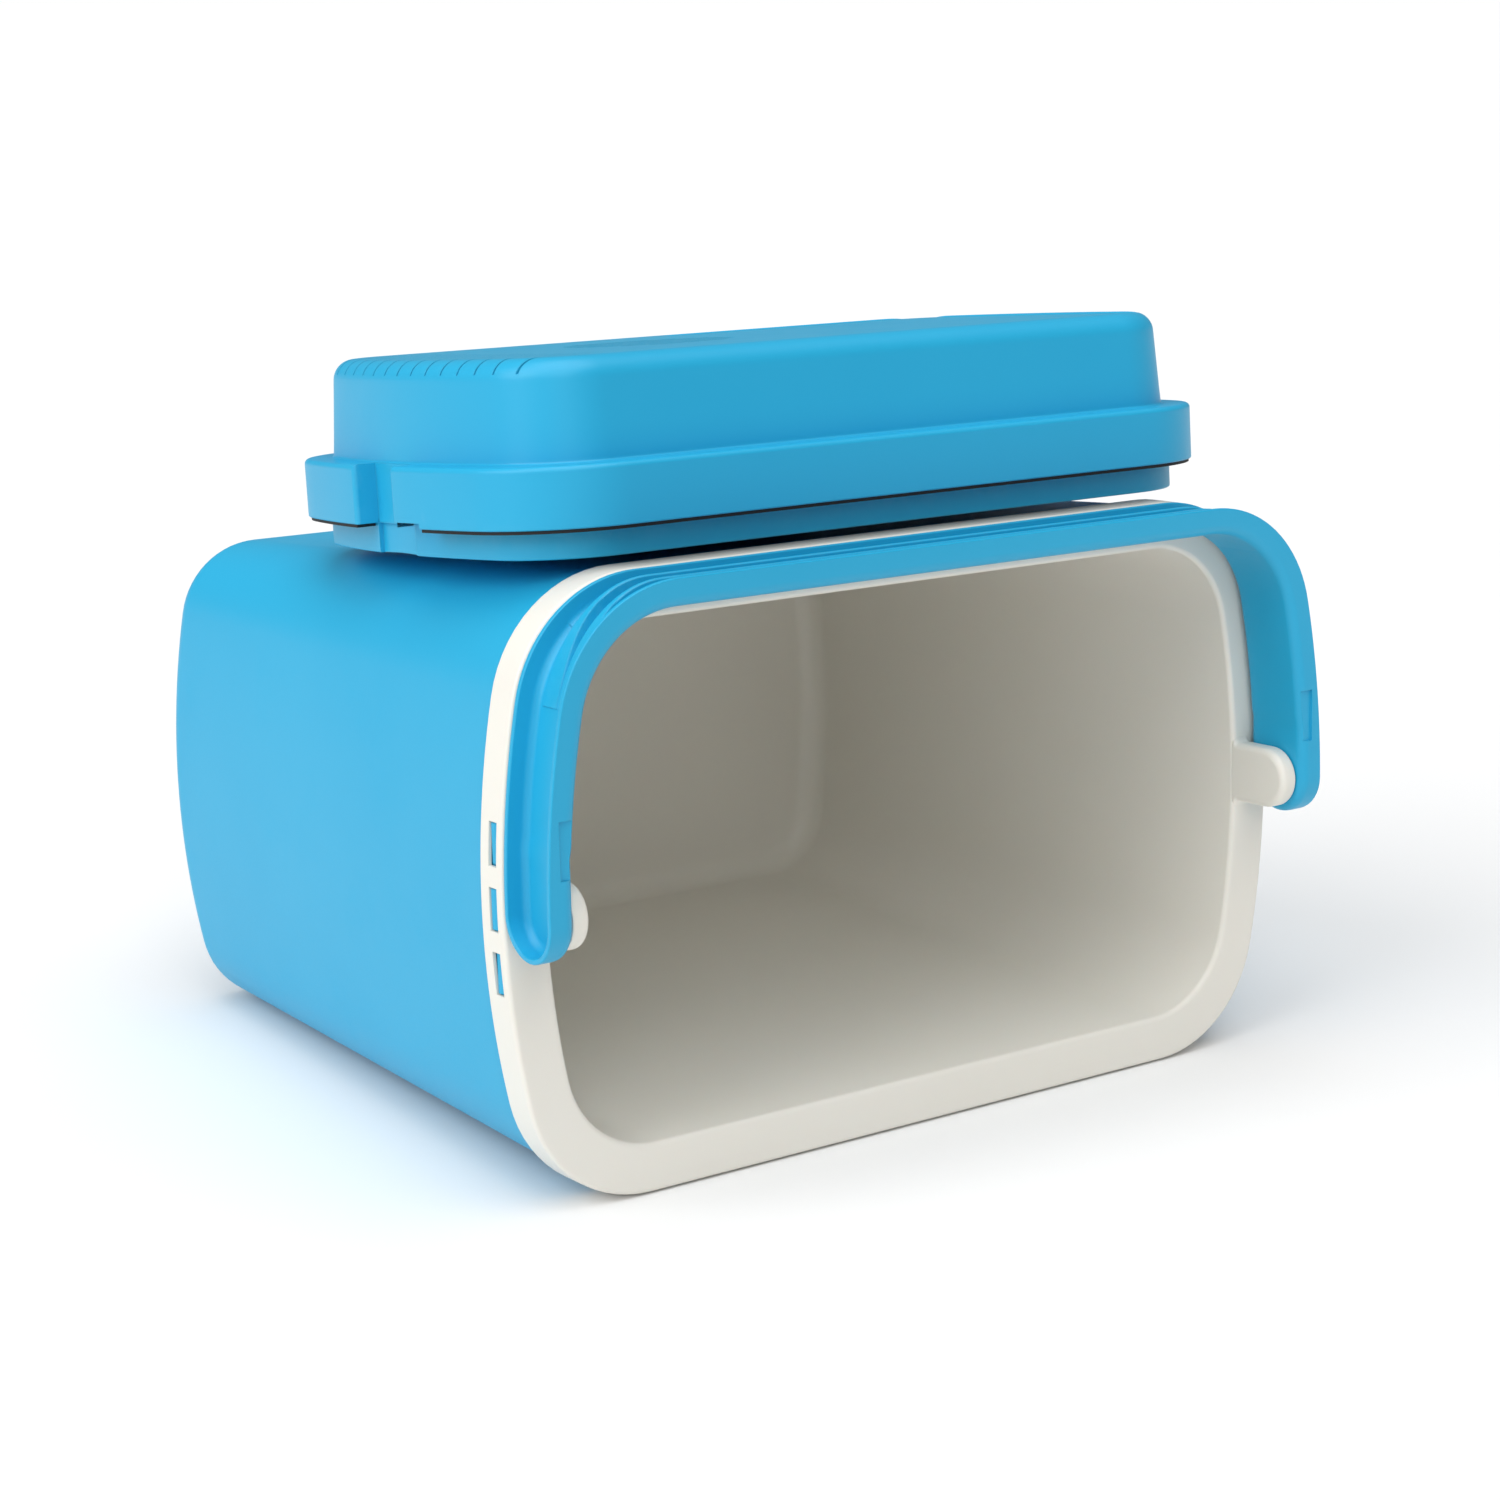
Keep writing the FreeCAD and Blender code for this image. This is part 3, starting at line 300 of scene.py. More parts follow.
# ------------------------------------------------------------------------------ shader building
class Wire:
    """A shader value that is added, multiplied and compared as a number is."""

    def __init__(self, bench: "Bench", socket: bpy.types.NodeSocket) -> None:
        """Wraps a node's output."""
        self.bench = bench
        self.socket = socket

    def _maths(self, operation: str, first: "Wire | float", second: "Wire | float") -> "Wire":
        """Adds one Math node."""
        return self.bench.node("ShaderNodeMath", {"operation": operation}, {0: first, 1: second})

    def __add__(self, other: "Wire | float") -> "Wire":
        """self + other"""
        return self._maths("ADD", self, other)

    __radd__ = __add__

    def __mul__(self, other: "Wire | float") -> "Wire":
        """self * other"""
        return self._maths("MULTIPLY", self, other)

    __rmul__ = __mul__

    def __sub__(self, other: "Wire | float") -> "Wire":
        """self - other"""
        return self._maths("SUBTRACT", self, other)

    def __rsub__(self, other: "Wire | float") -> "Wire":
        """other - self"""
        return self._maths("SUBTRACT", other, self)

    def window(self, low: float, high: float) -> "Wire":
        """Eases from 0 to 1 as the value goes from low to high."""
        settings = {"interpolation_type": "SMOOTHSTEP"}
        inputs = {"Value": self, "From Min": low, "From Max": high}
        return self.bench.node("ShaderNodeMapRange", settings, inputs)


class Bench:
    """Builds one material's nodes.

    Args:
        name: The material's name.
    """

    def __init__(self, name: str) -> None:
        """Makes the material with its shader and output."""
        self.material = bpy.data.materials.new(name)
        self.material.use_nodes = True
        self.tree = self.material.node_tree
        self.tree.nodes.clear()
        self.shader = self.tree.nodes.new("ShaderNodeBsdfPrincipled")
        out = self.tree.nodes.new("ShaderNodeOutputMaterial")
        self.tree.links.new(self.shader.outputs[0], out.inputs["Surface"])
        self.place = self.node("ShaderNodeTexCoord", {}, {}, "Object")

    def node(self, kind: str, settings: dict[str, Any], inputs: dict[Any, Any],
             output: str | int = 0) -> Wire:
        """Adds a node.

        Args:
            kind: The node's type.
            settings: Its settings, set before anything is linked.
            inputs: Values or wires by socket name or number.
            output: The output that is wanted.

        Returns:
            That output.
        """
        made = self.tree.nodes.new(kind)
        for key, value in settings.items():
            setattr(made, key, value)
        for key, value in inputs.items():
            self.feed(made.inputs[key], value)
        return Wire(self, made.outputs[output])

    def feed(self, socket: bpy.types.NodeSocket, value: Any) -> None:
        """Links a wire to a socket, or sets the socket's value."""
        if isinstance(value, Wire):
            self.tree.links.new(value.socket, socket)
        elif socket.type == "RGBA" and len(value) == 3:
            socket.default_value = (*value, 1.0)
        else:
            socket.default_value = value

    def noise(self, scale: float, detail: float = 2.0, roughness: float = 0.5,
              stretch: Point | None = None) -> Wire:
        """Smooth noise.

        Args:
            scale: Waves to a metre.
            detail: How many finer layers it has.
            roughness: How strong the finer layers are.
            stretch: Factors on the three directions.

        Returns:
            The noise, about 0.5 in the middle.
        """
        place = self.place
        if stretch is not None:
            place = self.node("ShaderNodeMapping", {}, {"Vector": place, "Scale": stretch})
        inputs = {"Vector": place, "Scale": scale, "Detail": detail, "Roughness": roughness}
        return self.node("ShaderNodeTexNoise", {}, inputs)

    def blend(self, share: Wire | float, first: Any, second: Any, mode: str = "MIX") -> Wire:
        """Mixes a share of the second colour, or wire, into the first."""
        settings = {"data_type": "RGBA", "blend_type": mode}
        return self.node("ShaderNodeMix", settings, {0: share, 6: first, 7: second}, 2)

    def soften(self, radius: float) -> Wire:
        """Normals with the mesh's edges rounded by a radius in metres."""
        return self.node("ShaderNodeBevel", {"samples": 4}, {"Radius": radius})

    def bump(self, height: Wire, distance: float, strength: float = 1.0,
             normal: Wire | None = None) -> Wire:
        """Turns a height into a normal.

        Args:
            height: The height, 0 to 1.
            distance: What a height of 1 is in metres.
            strength: Share of the effect.
            normal: The normal that it starts from.

        Returns:
            The normal.
        """
        inputs = {"Height": height, "Distance": distance, "Strength": strength}
        if normal is not None:
            inputs["Normal"] = normal
        return self.node("ShaderNodeBump", {}, inputs)

    def finish(self, **sockets: Any) -> bpy.types.Material:
        """Feeds the shader's sockets, with spaces for underscores, and returns the material."""
        for name, value in sockets.items():
            self.feed(self.shader.inputs[name.replace("_", " ")], value)
        return self.material


Colour = tuple[float, float, float]


@dataclass(frozen=True)
class MouldedPlastic:
    """Injection-moulded plastic with a spark-eroded grain.

    Args:
        name: The material's name.
        colour: Colour of a clean face.
        shade: Colour that it drifts to across a face.
        rub: Colour of a rubbed edge.
        roughness: Middle roughness.
        grain: Height of the grain in metres.
        grain_scale: Grains to a metre.
        flow: How much the flow of the plastic shows, 0 to 1.
        edge: Radius of otherwise sharp edges, in metres.
        through: Share of light that enters the plastic.
    """

    name: str
    colour: Colour
    shade: Colour
    rub: Colour
    roughness: float = 0.4
    grain: float = 0.00002
    grain_scale: float = 1400.0
    flow: float = 0.3
    edge: float = 0.0005
    through: float = 0.0

    def make(self) -> bpy.types.Material:
        """Builds the material."""
        bench = Bench(self.name)
        drift = bench.noise(7.0, 3.0, 0.55)
        streak = bench.noise(9.0, 2.0, 0.5, (0.35, 1.0, 1.6))
        speckle = bench.noise(self.grain_scale, 1.0, 0.6)
        smudge = bench.noise(22.0, 5.0, 0.65).window(0.5, 0.72)
        worn = bench.node("ShaderNodeNewGeometry", {}, {}, "Pointiness").window(0.53, 0.6)
        scuffed = worn * bench.noise(160.0, 4.0, 0.7).window(0.42, 0.62)
        colour = bench.blend(drift.window(0.3, 0.75), self.colour, self.shade)
        tint = bench.blend(streak.window(0.3, 0.8) * self.flow, colour, self.shade)
        colour = bench.blend(scuffed * 0.10, tint, self.rub)
        rough = (speckle - 0.5) * 0.10 + (drift - 0.5) * 0.08 + smudge * 0.03 + self.roughness
        fine = bench.bump(speckle, self.grain, 1.0, bench.soften(self.edge))
        waves = bench.bump(bench.noise(9.0, 0.0), 0.0002, 0.25, fine)
        return bench.finish(Base_Color=colour, Roughness=rough, Normal=waves,
                            Subsurface_Weight=self.through, Subsurface_Scale=0.002,
                            Specular_IOR_Level=0.42)


@dataclass(frozen=True)
class SoftRubber:
    """Dull seal rubber with a bloom of dust.

    Args:
        name: The material's name.
        colour: Clean colour.
        dust: Colour of the bloom.
    """

    name: str
    colour: Colour
    dust: Colour

    def make(self) -> bpy.types.Material:
        """Builds the material."""
        bench = Bench(self.name)
        bloom = bench.noise(60.0, 5.0, 0.7).window(0.45, 0.8)
        grain = bench.noise(2200.0, 1.0)
        colour = bench.blend(bloom * 0.2, self.colour, self.dust)
        return bench.finish(Base_Color=colour, Roughness=0.62 + bloom * 0.15 + grain * 0.06,
                            Normal=bench.bump(grain, 0.00004, 1.0, bench.soften(0.0003)))


@dataclass(frozen=True)
class MetalWork:
    """Drawn, cast or turned metal with fine lines along one direction.

    Args:
        name: The material's name.
        colour: The metal's colour.
        dull: Colour of its oxide.
        roughness: Middle roughness.
        lines: Factors that stretch the lines.
    """

    name: str
    colour: Colour
    dull: Colour
    roughness: float = 0.3
    lines: Point = (0.04, 1.0, 1.0)

    def make(self) -> bpy.types.Material:
        """Builds the material."""
        bench = Bench(self.name)
        drawn = bench.noise(1500.0, 3.0, 0.6, self.lines)
        oxide = bench.noise(45.0, 5.0, 0.65).window(0.42, 0.75)
        colour = bench.blend(oxide * 0.6, self.colour, self.dull)
        rough = self.roughness + (drawn - 0.5) * 0.18 + oxide * 0.14
        return bench.finish(Base_Color=colour, Metallic=1.0, Roughness=rough,
                            Normal=bench.bump(drawn, 0.00002, 0.8, bench.soften(0.0003)))


@dataclass(frozen=True)
class RigidFoam:
    """Cut or blown foam with open cells.

    Args:
        name: The material's name.
        colour: The foam's colour.
        pit_shade: Painted shade, the darker colour laid in the low middle of each cell's pit.
    """

    name: str
    colour: Colour
    pit_shade: Colour

    def make(self) -> bpy.types.Material:
        """Builds the material."""
        bench = Bench(self.name)
        inputs = {"Vector": bench.place, "Scale": 700.0, "Randomness": 0.9}
        cells = bench.node("ShaderNodeTexVoronoi", {"feature": "F1"}, inputs, "Distance")
        pits = cells.window(0.1, 0.55)
        # Painted shade: the low middle of each cell is darkened towards the pit colour, as if shade
        # fell into it.
        colour = bench.blend(pits, self.pit_shade, self.colour)
        return bench.finish(Base_Color=colour, Roughness=0.85 + pits * 0.1,
                            Normal=bench.bump(pits, 0.0003))


@dataclass(frozen=True)
class CircuitBoard:
    """Green lacquered board with tracks.

    Args:
        name: The material's name.
        lacquer: Colour over bare board.
        track: Colour over copper.
    """

    name: str
    lacquer: Colour
    track: Colour

    def make(self) -> bpy.types.Material:
        """Builds the material."""
        bench = Bench(self.name)
        inputs = {"Vector": bench.place, "Scale": 160.0, "Color1": (0, 0, 0), "Color2": (1, 1, 1)}
        grid = bench.node("ShaderNodeTexBrick", {"offset": 0.37}, inputs, "Fac")
        tracks = (1 - grid) * bench.noise(90.0, 1.0).window(0.45, 0.5)
        colour = bench.blend(tracks * 0.7, self.lacquer, self.track)
        return bench.finish(Base_Color=colour, Roughness=0.32 + tracks * 0.1,
                            Normal=bench.bump(tracks, 0.00004))


@dataclass(frozen=True)
class ClearLens:
    """Tinted clear plastic with moulded ripples.

    Args:
        name: The material's name.
        colour: The tint.
    """

    name: str
    colour: Colour

    def make(self) -> bpy.types.Material:
        """Builds the material."""
        bench = Bench(self.name)
        ripple = bench.noise(900.0, 2.0)
        colour = bench.blend(ripple * 0.3, self.colour, (0.75, 0.95, 0.7))
        return bench.finish(Base_Color=colour, Roughness=0.1 + ripple * 0.1,
                            Normal=bench.bump(ripple, 0.00005), Transmission_Weight=0.35)


class Finish(Enum):
    """The finishes of the chest, by the record's slot names."""

    SHELL = "blue_shell"
    LINER = "white_liner"
    HANDLE = "blue_handle"
    LID = "blue_lid"
    SEAL = "black_seal"
    FOAM = "foam"
    BLACK = "black_plastic"
    ALUMINIUM = "aluminium"
    CERAMIC = "ceramic"
    STEEL = "steel"
    BOARD = "board_green"
    SWITCH = "switch_grey"
    LAMP = "lamp_green"


SKY_BLUE: Colour = (0.016, 0.39, 0.65)
SKY_BLUE_DEEP: Colour = (0.013, 0.375, 0.635)
RUBBED_BLUE: Colour = (0.16, 0.52, 0.74)
WARM_WHITE: Colour = (0.80, 0.78, 0.715)
WARM_WHITE_SHADE: Colour = (0.79, 0.765, 0.695)

RECIPES: dict[Finish, Any] = {
    Finish.SHELL: MouldedPlastic("shell_blue", SKY_BLUE, SKY_BLUE_DEEP, RUBBED_BLUE, 0.44),
    Finish.HANDLE: MouldedPlastic("handle_blue", SKY_BLUE, SKY_BLUE_DEEP, RUBBED_BLUE, 0.38, flow=0.45),
    Finish.LID: MouldedPlastic("lid_blue", SKY_BLUE, SKY_BLUE_DEEP, RUBBED_BLUE, 0.42),
    Finish.LINER: MouldedPlastic("liner_white", WARM_WHITE, WARM_WHITE_SHADE, (0.86, 0.85, 0.82),
                                 0.34, grain=0.00001, through=0.04),
    Finish.SEAL: SoftRubber("seal_rubber", (0.004, 0.004, 0.005), (0.03, 0.03, 0.03)),
    Finish.FOAM: RigidFoam("rigid_foam", (0.78, 0.72, 0.52), (0.50, 0.44, 0.28)),
    Finish.BLACK: MouldedPlastic("black_moulding", (0.012, 0.012, 0.013), (0.02, 0.02, 0.021),
                                 (0.08, 0.08, 0.08), 0.42, grain=0.00003),
    Finish.ALUMINIUM: MetalWork("drawn_aluminium", (0.86, 0.87, 0.88), (0.55, 0.56, 0.58)),
    Finish.CERAMIC: MouldedPlastic("ceramic_plate", (0.86, 0.86, 0.84), (0.80, 0.80, 0.78),
                                   (0.9, 0.9, 0.9), 0.55, grain=0.00001),
    Finish.STEEL: MetalWork("plated_steel", (0.60, 0.60, 0.58), (0.36, 0.35, 0.32), 0.34,
                            (1.0, 1.0, 0.05)),
    Finish.BOARD: CircuitBoard("board_lacquer", (0.01, 0.12, 0.04), (0.03, 0.26, 0.08)),
    Finish.SWITCH: MouldedPlastic("switch_grey", (0.22, 0.23, 0.24), (0.18, 0.19, 0.20),
                                  (0.4, 0.4, 0.4), 0.4),
    Finish.LAMP: ClearLens("lamp_lens", (0.15, 0.65, 0.18)),
}


class PaintShop:
    """Makes each material once and puts it on pieces."""

    def __init__(self) -> None:
        """Starts with no materials made."""
        self.made: dict[Finish, bpy.types.Material] = {}

    def dress(self, piece: bpy.types.Object, finish: Finish) -> None:
        """Gives a piece its only material."""
        if finish not in self.made:
            self.made[finish] = RECIPES[finish].make()
        piece.data.materials.clear()
        piece.data.materials.append(self.made[finish])


# ------------------------------------------------------------------------------ where things lie
def lie_from(origin: Vector, along: Vector, up: Vector) -> Matrix:
    """Takes millimetres of a standing frame to the row's frame.

    Args:
        origin: The standing frame's origin, in metres.
        along: Its x direction.
        up: Its z direction.

    Returns:
        The matrix.
    """
    side = up.cross(along)
    turn = Matrix((along, side, up)).transposed().to_4x4()
    return Matrix.Translation(origin) @ turn @ Matrix.Scale(MM, 4)


def tub_lie(record: dict[str, Any]) -> Matrix:
    """The tub's standing frame, from the mount under its base."""
    mount = next(m for m in record["mounts"] if m["name"] == "base_face")
    return lie_from(Vector(mount["pos_m"]), Vector((1, 0, 0)), -Vector(mount["axis"]).normalized())


def lid_lie(parts: dict[str, bpy.types.Object], record: dict[str, Any]) -> Matrix:
    """The lid's standing frame, from its joints' directions and the reach of its base.

    Args:
        parts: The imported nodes.
        record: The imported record.

    Returns:
        The matrix.
    """
    axes = {j["name"]: Vector(j["axis"]).normalized() for j in record["behaviour"]["joints"]}
    up = axes["cold_fan_spin"]
    along = axes["mode_switch_slide"]
    side = up.cross(along)
    reach = []
    for axis in (along, side, up):
        spread = [v.co.dot(axis) for v in parts["lid_base"].data.vertices]
        reach.append((min(spread), max(spread)))
    middle = along * sum(reach[0]) / 2 + side * sum(reach[1]) / 2
    return lie_from(middle + up * reach[2][0], along, up)


@dataclass(frozen=True)
class TubSizes:
    """Sizes that the shell, the liner and the handle share, in millimetres.

    Args:
        height: Base to rim face.
        collar: Outline of the collar.
        base: Outline of the base, before the shell's step.
        opening: Outline of the tub's mouth.
        floor: Outline of the tub at its floor.
        pivot_rise: The handle's pivot above the rim face.
    """

    height: float = 326.0
    collar: Outline = Outline(200.0, 125.0, 392.0, 56.0)
    base: Outline = Outline(188.0, 109.5, 392.0, 39.0)
    opening: Outline = Outline(180.0, 105.0, 372.0, 41.0)
    floor: Outline = Outline(168.0, 89.5, 372.0, 31.0)
    pivot_rise: float = 17.6

    @property
    def pivot_z(self) -> float:
        """Height of the handle's pivot."""
        return self.height + self.pivot_rise

    def shell_at(self, z: float, inset: float) -> Loop:
        """Loop of the drafted shell at a height, a distance inside the collar's line."""
        return self.base.toward(self.collar, z / self.height).inset(inset).loop(z)

    def tub_at(self, z: float, inset: float) -> Loop:
        """Loop of the drafted tub at a height."""
        return self.floor.toward(self.opening, z / self.height).inset(inset).loop(z)


# ------------------------------------------------------------------------------ the tub
@dataclass
class OuterShell:
    """The blue outer moulding, with the snap tabs that fill the collar's windows.

    Args:
        sizes: Shared sizes.
        lie: The tub's standing frame.
        step: How far the shell lies inside the collar.
        wall: Its thickness.
        base_round: Radius round the base.
        top_gap: From its top edge to the rim face.
        tab_places: Where the snap tabs are, across the short sides.
        tab_size: Length and height of a tab.
        tab_drop: Tab centres below the rim face.
        foot_ring: Inset, width, depth and slope of the shallow groove in the base.
        top_edge: Drop and bevel of the top's inner edge, bevel and drop of its outer edge.
        tab_ramp: Section of a tab's face, outwards and upwards from its lower edge.
        tab_root: Depth of a tab behind its face.
        tab_sink: How far a tab's face lies inside the collar's.
    """

    sizes: TubSizes
    lie: Matrix
    step: float = 1.8
    wall: float = 2.4
    base_round: float = 17.0
    top_gap: float = 2.9
    tab_places: tuple[float, ...] = (-25.5, 0.0, 25.5)
    tab_size: Flat = (16.4, 4.8)
    tab_drop: float = 7.0
    foot_ring: tuple[float, float, float, float] = (30.0, 5.0, 1.2, 0.5)
    top_edge: tuple[float, float, float, float] = (0.6, 0.4, 0.6, 0.7)
    tab_ramp: tuple[Flat, ...] = ((-0.35, 0.0), (0.0, 0.4), (0.0, 2.1), (-0.9, 4.6), (-1.2, 4.8))
    tab_root: float = 3.2
    tab_sink: float = 0.45

    def section(self) -> list[Loop]:
        """Loops from the inside of the base, over the top edge and down to the base's middle."""
        sizes = self.sizes
        top = sizes.height - self.top_gap
        inner = self.step + self.wall
        inner_r = self.base_round - self.wall
        outer_r = self.base_round
        levels = [(inner + i, self.wall + z) for i, z in arc(inner_r, inner_r, inner_r, -90, 0, 6)]
        drop_in, bevel_in, bevel_out, drop_out = self.top_edge
        levels += [(inner, top - drop_in), (inner - bevel_in, top)]
        levels += [(self.step + bevel_out, top), (self.step, top - drop_out)]
        levels += [(self.step, top * share) for share in (0.85, 0.6, 0.35, 0.15)]
        levels += [(self.step + i, z) for i, z in arc(outer_r, outer_r, outer_r, 0, -90, 14)]
        inset, width, depth, slope = self.foot_ring
        far = inset + width
        levels += [(inset, 0.0), (inset + slope, depth), (far - slope, depth), (far, 0.0)]
        levels.append((far + 3 * CLEAR, 0.0))
        return [sizes.shell_at(z, inset) for inset, z in levels]

    def tabs(self) -> Skin:
        """The snap tabs, each with the slanted face that clicks under the window's edge."""
        length, height = self.tab_size
        skin = Skin()
        low = self.sizes.height - self.tab_drop - height / 2
        half = length / 2
        for side in (-1, 1):
            for y in self.tab_places:
                proud = self.sizes.collar.end_x(abs(y) + half) - self.tab_sink
                root = proud - self.tab_root
                face = [(proud + out, low + rise) for out, rise in self.tab_ramp]
                ends = [(y - half, EDGE_BREAK), (y - half + EDGE_BREAK, 0.0),
                        (y + half - EDGE_BREAK, 0.0), (y + half, EDGE_BREAK)]
                loops = []
                for at, back in ends:
                    loop = [(side * root, at, low)]
                    loop += [(side * (x - back), at, z) for x, z in face]
                    loops.append(loop + [(side * root, at, low + height)])
                skin.tube(loops)
        return skin

    def build(self, shop: PaintShop) -> list[bpy.types.Object]:
        """Builds and dresses the shell.

        Args:
            shop: Where finishes come from.

        Returns:
            The pieces.
        """
        shell = Skin().tube(self.section()).to_object("tub_shell", self.lie)
        tabs = self.tabs().to_object("shell_snap_tabs", self.lie)
        for piece in (shell, tabs):
            smooth(piece)
            shop.dress(piece, Finish.SHELL)
            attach(piece, "box")
        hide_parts("outer_shell")
        return [shell, tabs]


@dataclass
class InnerLiner:
    """The white tub with its rim and collar, its snap windows and its two ears.

    Args:
        sizes: Shared sizes.
        lie: The tub's standing frame.
        rim_round: Radius of the rim's outer edge.
        mouth_round: Radius of the rim's inner edge.
        rim_thickness: Thickness of the rim's flat.
        collar_depth: How far the collar reaches down.
        collar_wall: The collar's thickness.
        wall: The tub's thickness.
        floor_z: Height of the tub's floor.
        floor_round: Radius between floor and walls.
        window_size: Length and height of a snap window.
        window_places: Where the windows are, across the short sides.
        window_drop: Window centres below the rim face.
        ear_r: Radius of an ear's nose.
        ear_span: Inner and outer face of an ear, along x.
        ear_round: Radius of an ear's inner edge.
        ear_flare: Radius of an ear's foot on the rim.
        ear_back: Growth and depth of the steps round an ear's outer edge.
        socket: Radius and depth of the pivot socket.
        gate_mark: Radius and depth of the mark at the floor's middle.
    """

    sizes: TubSizes
    lie: Matrix
    rim_round: float = 1.8
    mouth_round: float = 2.2
    rim_thickness: float = 2.6
    collar_depth: float = 16.0
    collar_wall: float = 1.5
    wall: float = 2.4
    floor_z: float = 27.0
    floor_round: float = 12.0
    window_size: Flat = (17.2, 5.6)
    window_places: tuple[float, ...] = (-25.5, 0.0, 25.5)
    window_drop: float = 7.0
    ear_r: float = 13.3
    ear_span: tuple[float, float] = (180.0, 188.0)
    ear_round: float = 3.0
    ear_flare: float = 2.4
    ear_back: tuple[Flat, ...] = ((0.0, 0.8), (-0.25, 0.2), (-0.7, 0.0))
    socket: Flat = (7.0, 5.6)
    gate_mark: Flat = (3.2, 0.5)

    def outside(self) -> list[Loop]:
        """Loops of the hidden outside, from the floor up to the collar's lower edge."""
        sizes = self.sizes
        outer_round = self.floor_round + self.wall
        low = self.floor_z - self.wall
        under = sizes.height - self.rim_thickness
        curve = arc(outer_round, outer_round, outer_round, -90, 0, 6)
        levels = [(i - self.wall, low + z) for i, z in curve]
        loops = [sizes.tub_at(z, inset) for inset, z in levels]
        loops.append(sizes.tub_at(under, -self.wall))
        loops.append(sizes.collar.inset(self.collar_wall).loop(under))
        loops.append(sizes.collar.inset(self.collar_wall).loop(sizes.height - self.collar_depth))
        return loops

    def inside(self) -> list[Loop]:
        """Loops of what shows, from the collar's lower edge over the rim to the floor."""
        sizes = self.sizes
        top = sizes.height
        skirt = top - self.collar_depth
        edge = [(EDGE_BREAK, skirt), (0.0, skirt + EDGE_BREAK)]
        edge += [(0.0, top - self.collar_depth * 0.5)]
        edge += arc(self.rim_round, top - self.rim_round, self.rim_round, 0, 90, 6)
        edge.append((self.rim_round + FLAT_RIM, top))
        loops = [sizes.collar.inset(inset).loop(z) for inset, z in edge]
        round_r = self.mouth_round
        mouth = [(-round_r - FLAT_RIM, top)]
        mouth += [(-i, z) for i, z in arc(round_r, top - round_r, round_r, 90, 0, 7)]
        loops += [sizes.tub_at(z, inset) for inset, z in mouth]
        loops += [sizes.tub_at(top * share, 0.0) for share in (0.85, 0.6, 0.35, 0.2)]
        floor = arc(self.floor_round, self.floor_z + self.floor_round, self.floor_round, 0, -90, 10)
        loops += [sizes.tub_at(z, inset) for inset, z in floor]
        loops.append(sizes.tub_at(self.floor_z, self.floor_round + 2 * CLEAR))
        return loops

    def windows(self) -> Skin:
        """Cutters of the snap windows."""
        half, rise = self.window_size[0] / 2, self.window_size[1] / 2
        middle = self.sizes.height - self.window_drop
        edge = self.sizes.collar.half_length
        skin = Skin()
        for side in (-1, 1):
            near, far = sorted((side * (edge - 10 * CLEAR), side * (edge + 3 * CLEAR)))
            for y in self.window_places:
                skin.block((near, y - half, middle - rise), (far, y + half, middle + rise))
        return skin

    def ear_outline(self, grow: float) -> list[Flat]:
        """Side view of an ear: a round nose on a root that flares into the rim.

        Args:
            grow: How far the outline is moved outwards.

        Returns:
            Points across and up.
        """
        radius = self.ear_r + grow
        flare = self.ear_flare
        root = self.sizes.height - CLEAR
        rise = self.sizes.height + flare
        left = bend(-radius - flare, rise, flare, -90, 0, 5)
        nose = bend(0.0, self.sizes.pivot_z, radius, 180, 0, 24)
        right = bend(radius + flare, rise, flare, 180, 270, 5)
        return [(-radius - flare, root)] + left + nose + right + [(radius + flare, root)]

    def ear(self, side: int) -> Skin:
        """One ear, with its inner edge well rounded.

        Args:
            side: Which end of the tub it is on.

        Returns:
            The ear's skin.
        """
        inner, outer = self.ear_span
        radius = self.ear_round
        rows = [(-i, inner + radius - z) for i, z in arc(radius, 0.0, radius, 90, 0, 6)]
        rows += [(grow, outer - back) for grow, back in self.ear_back]
        loops = [[(side * x, y, z) for y, z in self.ear_outline(grow)] for grow, x in rows]
        return Skin().tube(loops)

    def build(self, shop: PaintShop) -> list[bpy.types.Object]:
        """Builds and dresses the liner.

        Args:
            shop: Where finishes come from.

        Returns:
            The pieces.
        """
        liner = Skin().tube(self.outside() + self.inside()).to_object("tub_liner", self.lie)
        cut_away(liner, self.windows(), self.lie)
        radius, depth = self.gate_mark
        dome = [(0.3, depth), (radius * 0.5, depth), (radius * 0.8, depth * 0.7), (radius, -0.4)]
        mark = Skin().lathe(dome, (0.0, 0.0, self.floor_z - 0.2), "z")
        mark = mark.to_object("liner_gate_mark", self.lie)
        pieces = [liner, mark]
        radius, depth = self.socket
        for side, name in ((-1, "rim_ear_left"), (1, "rim_ear_right")):
            ear = self.ear(side).to_object(name, self.lie)
            mouth = (side * self.ear_span[1], 0.0, self.sizes.pivot_z)
            bore = Skin().lathe([(radius, -side * depth), (radius, side * CLEAR)], mouth, "x")
            cut_away(ear, bore, self.lie)
            pieces.append(ear)
        for piece in pieces:
            smooth(piece)
            shop.dress(piece, Finish.LINER)
            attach(piece, "box")
        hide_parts("inner_liner")
        return pieces


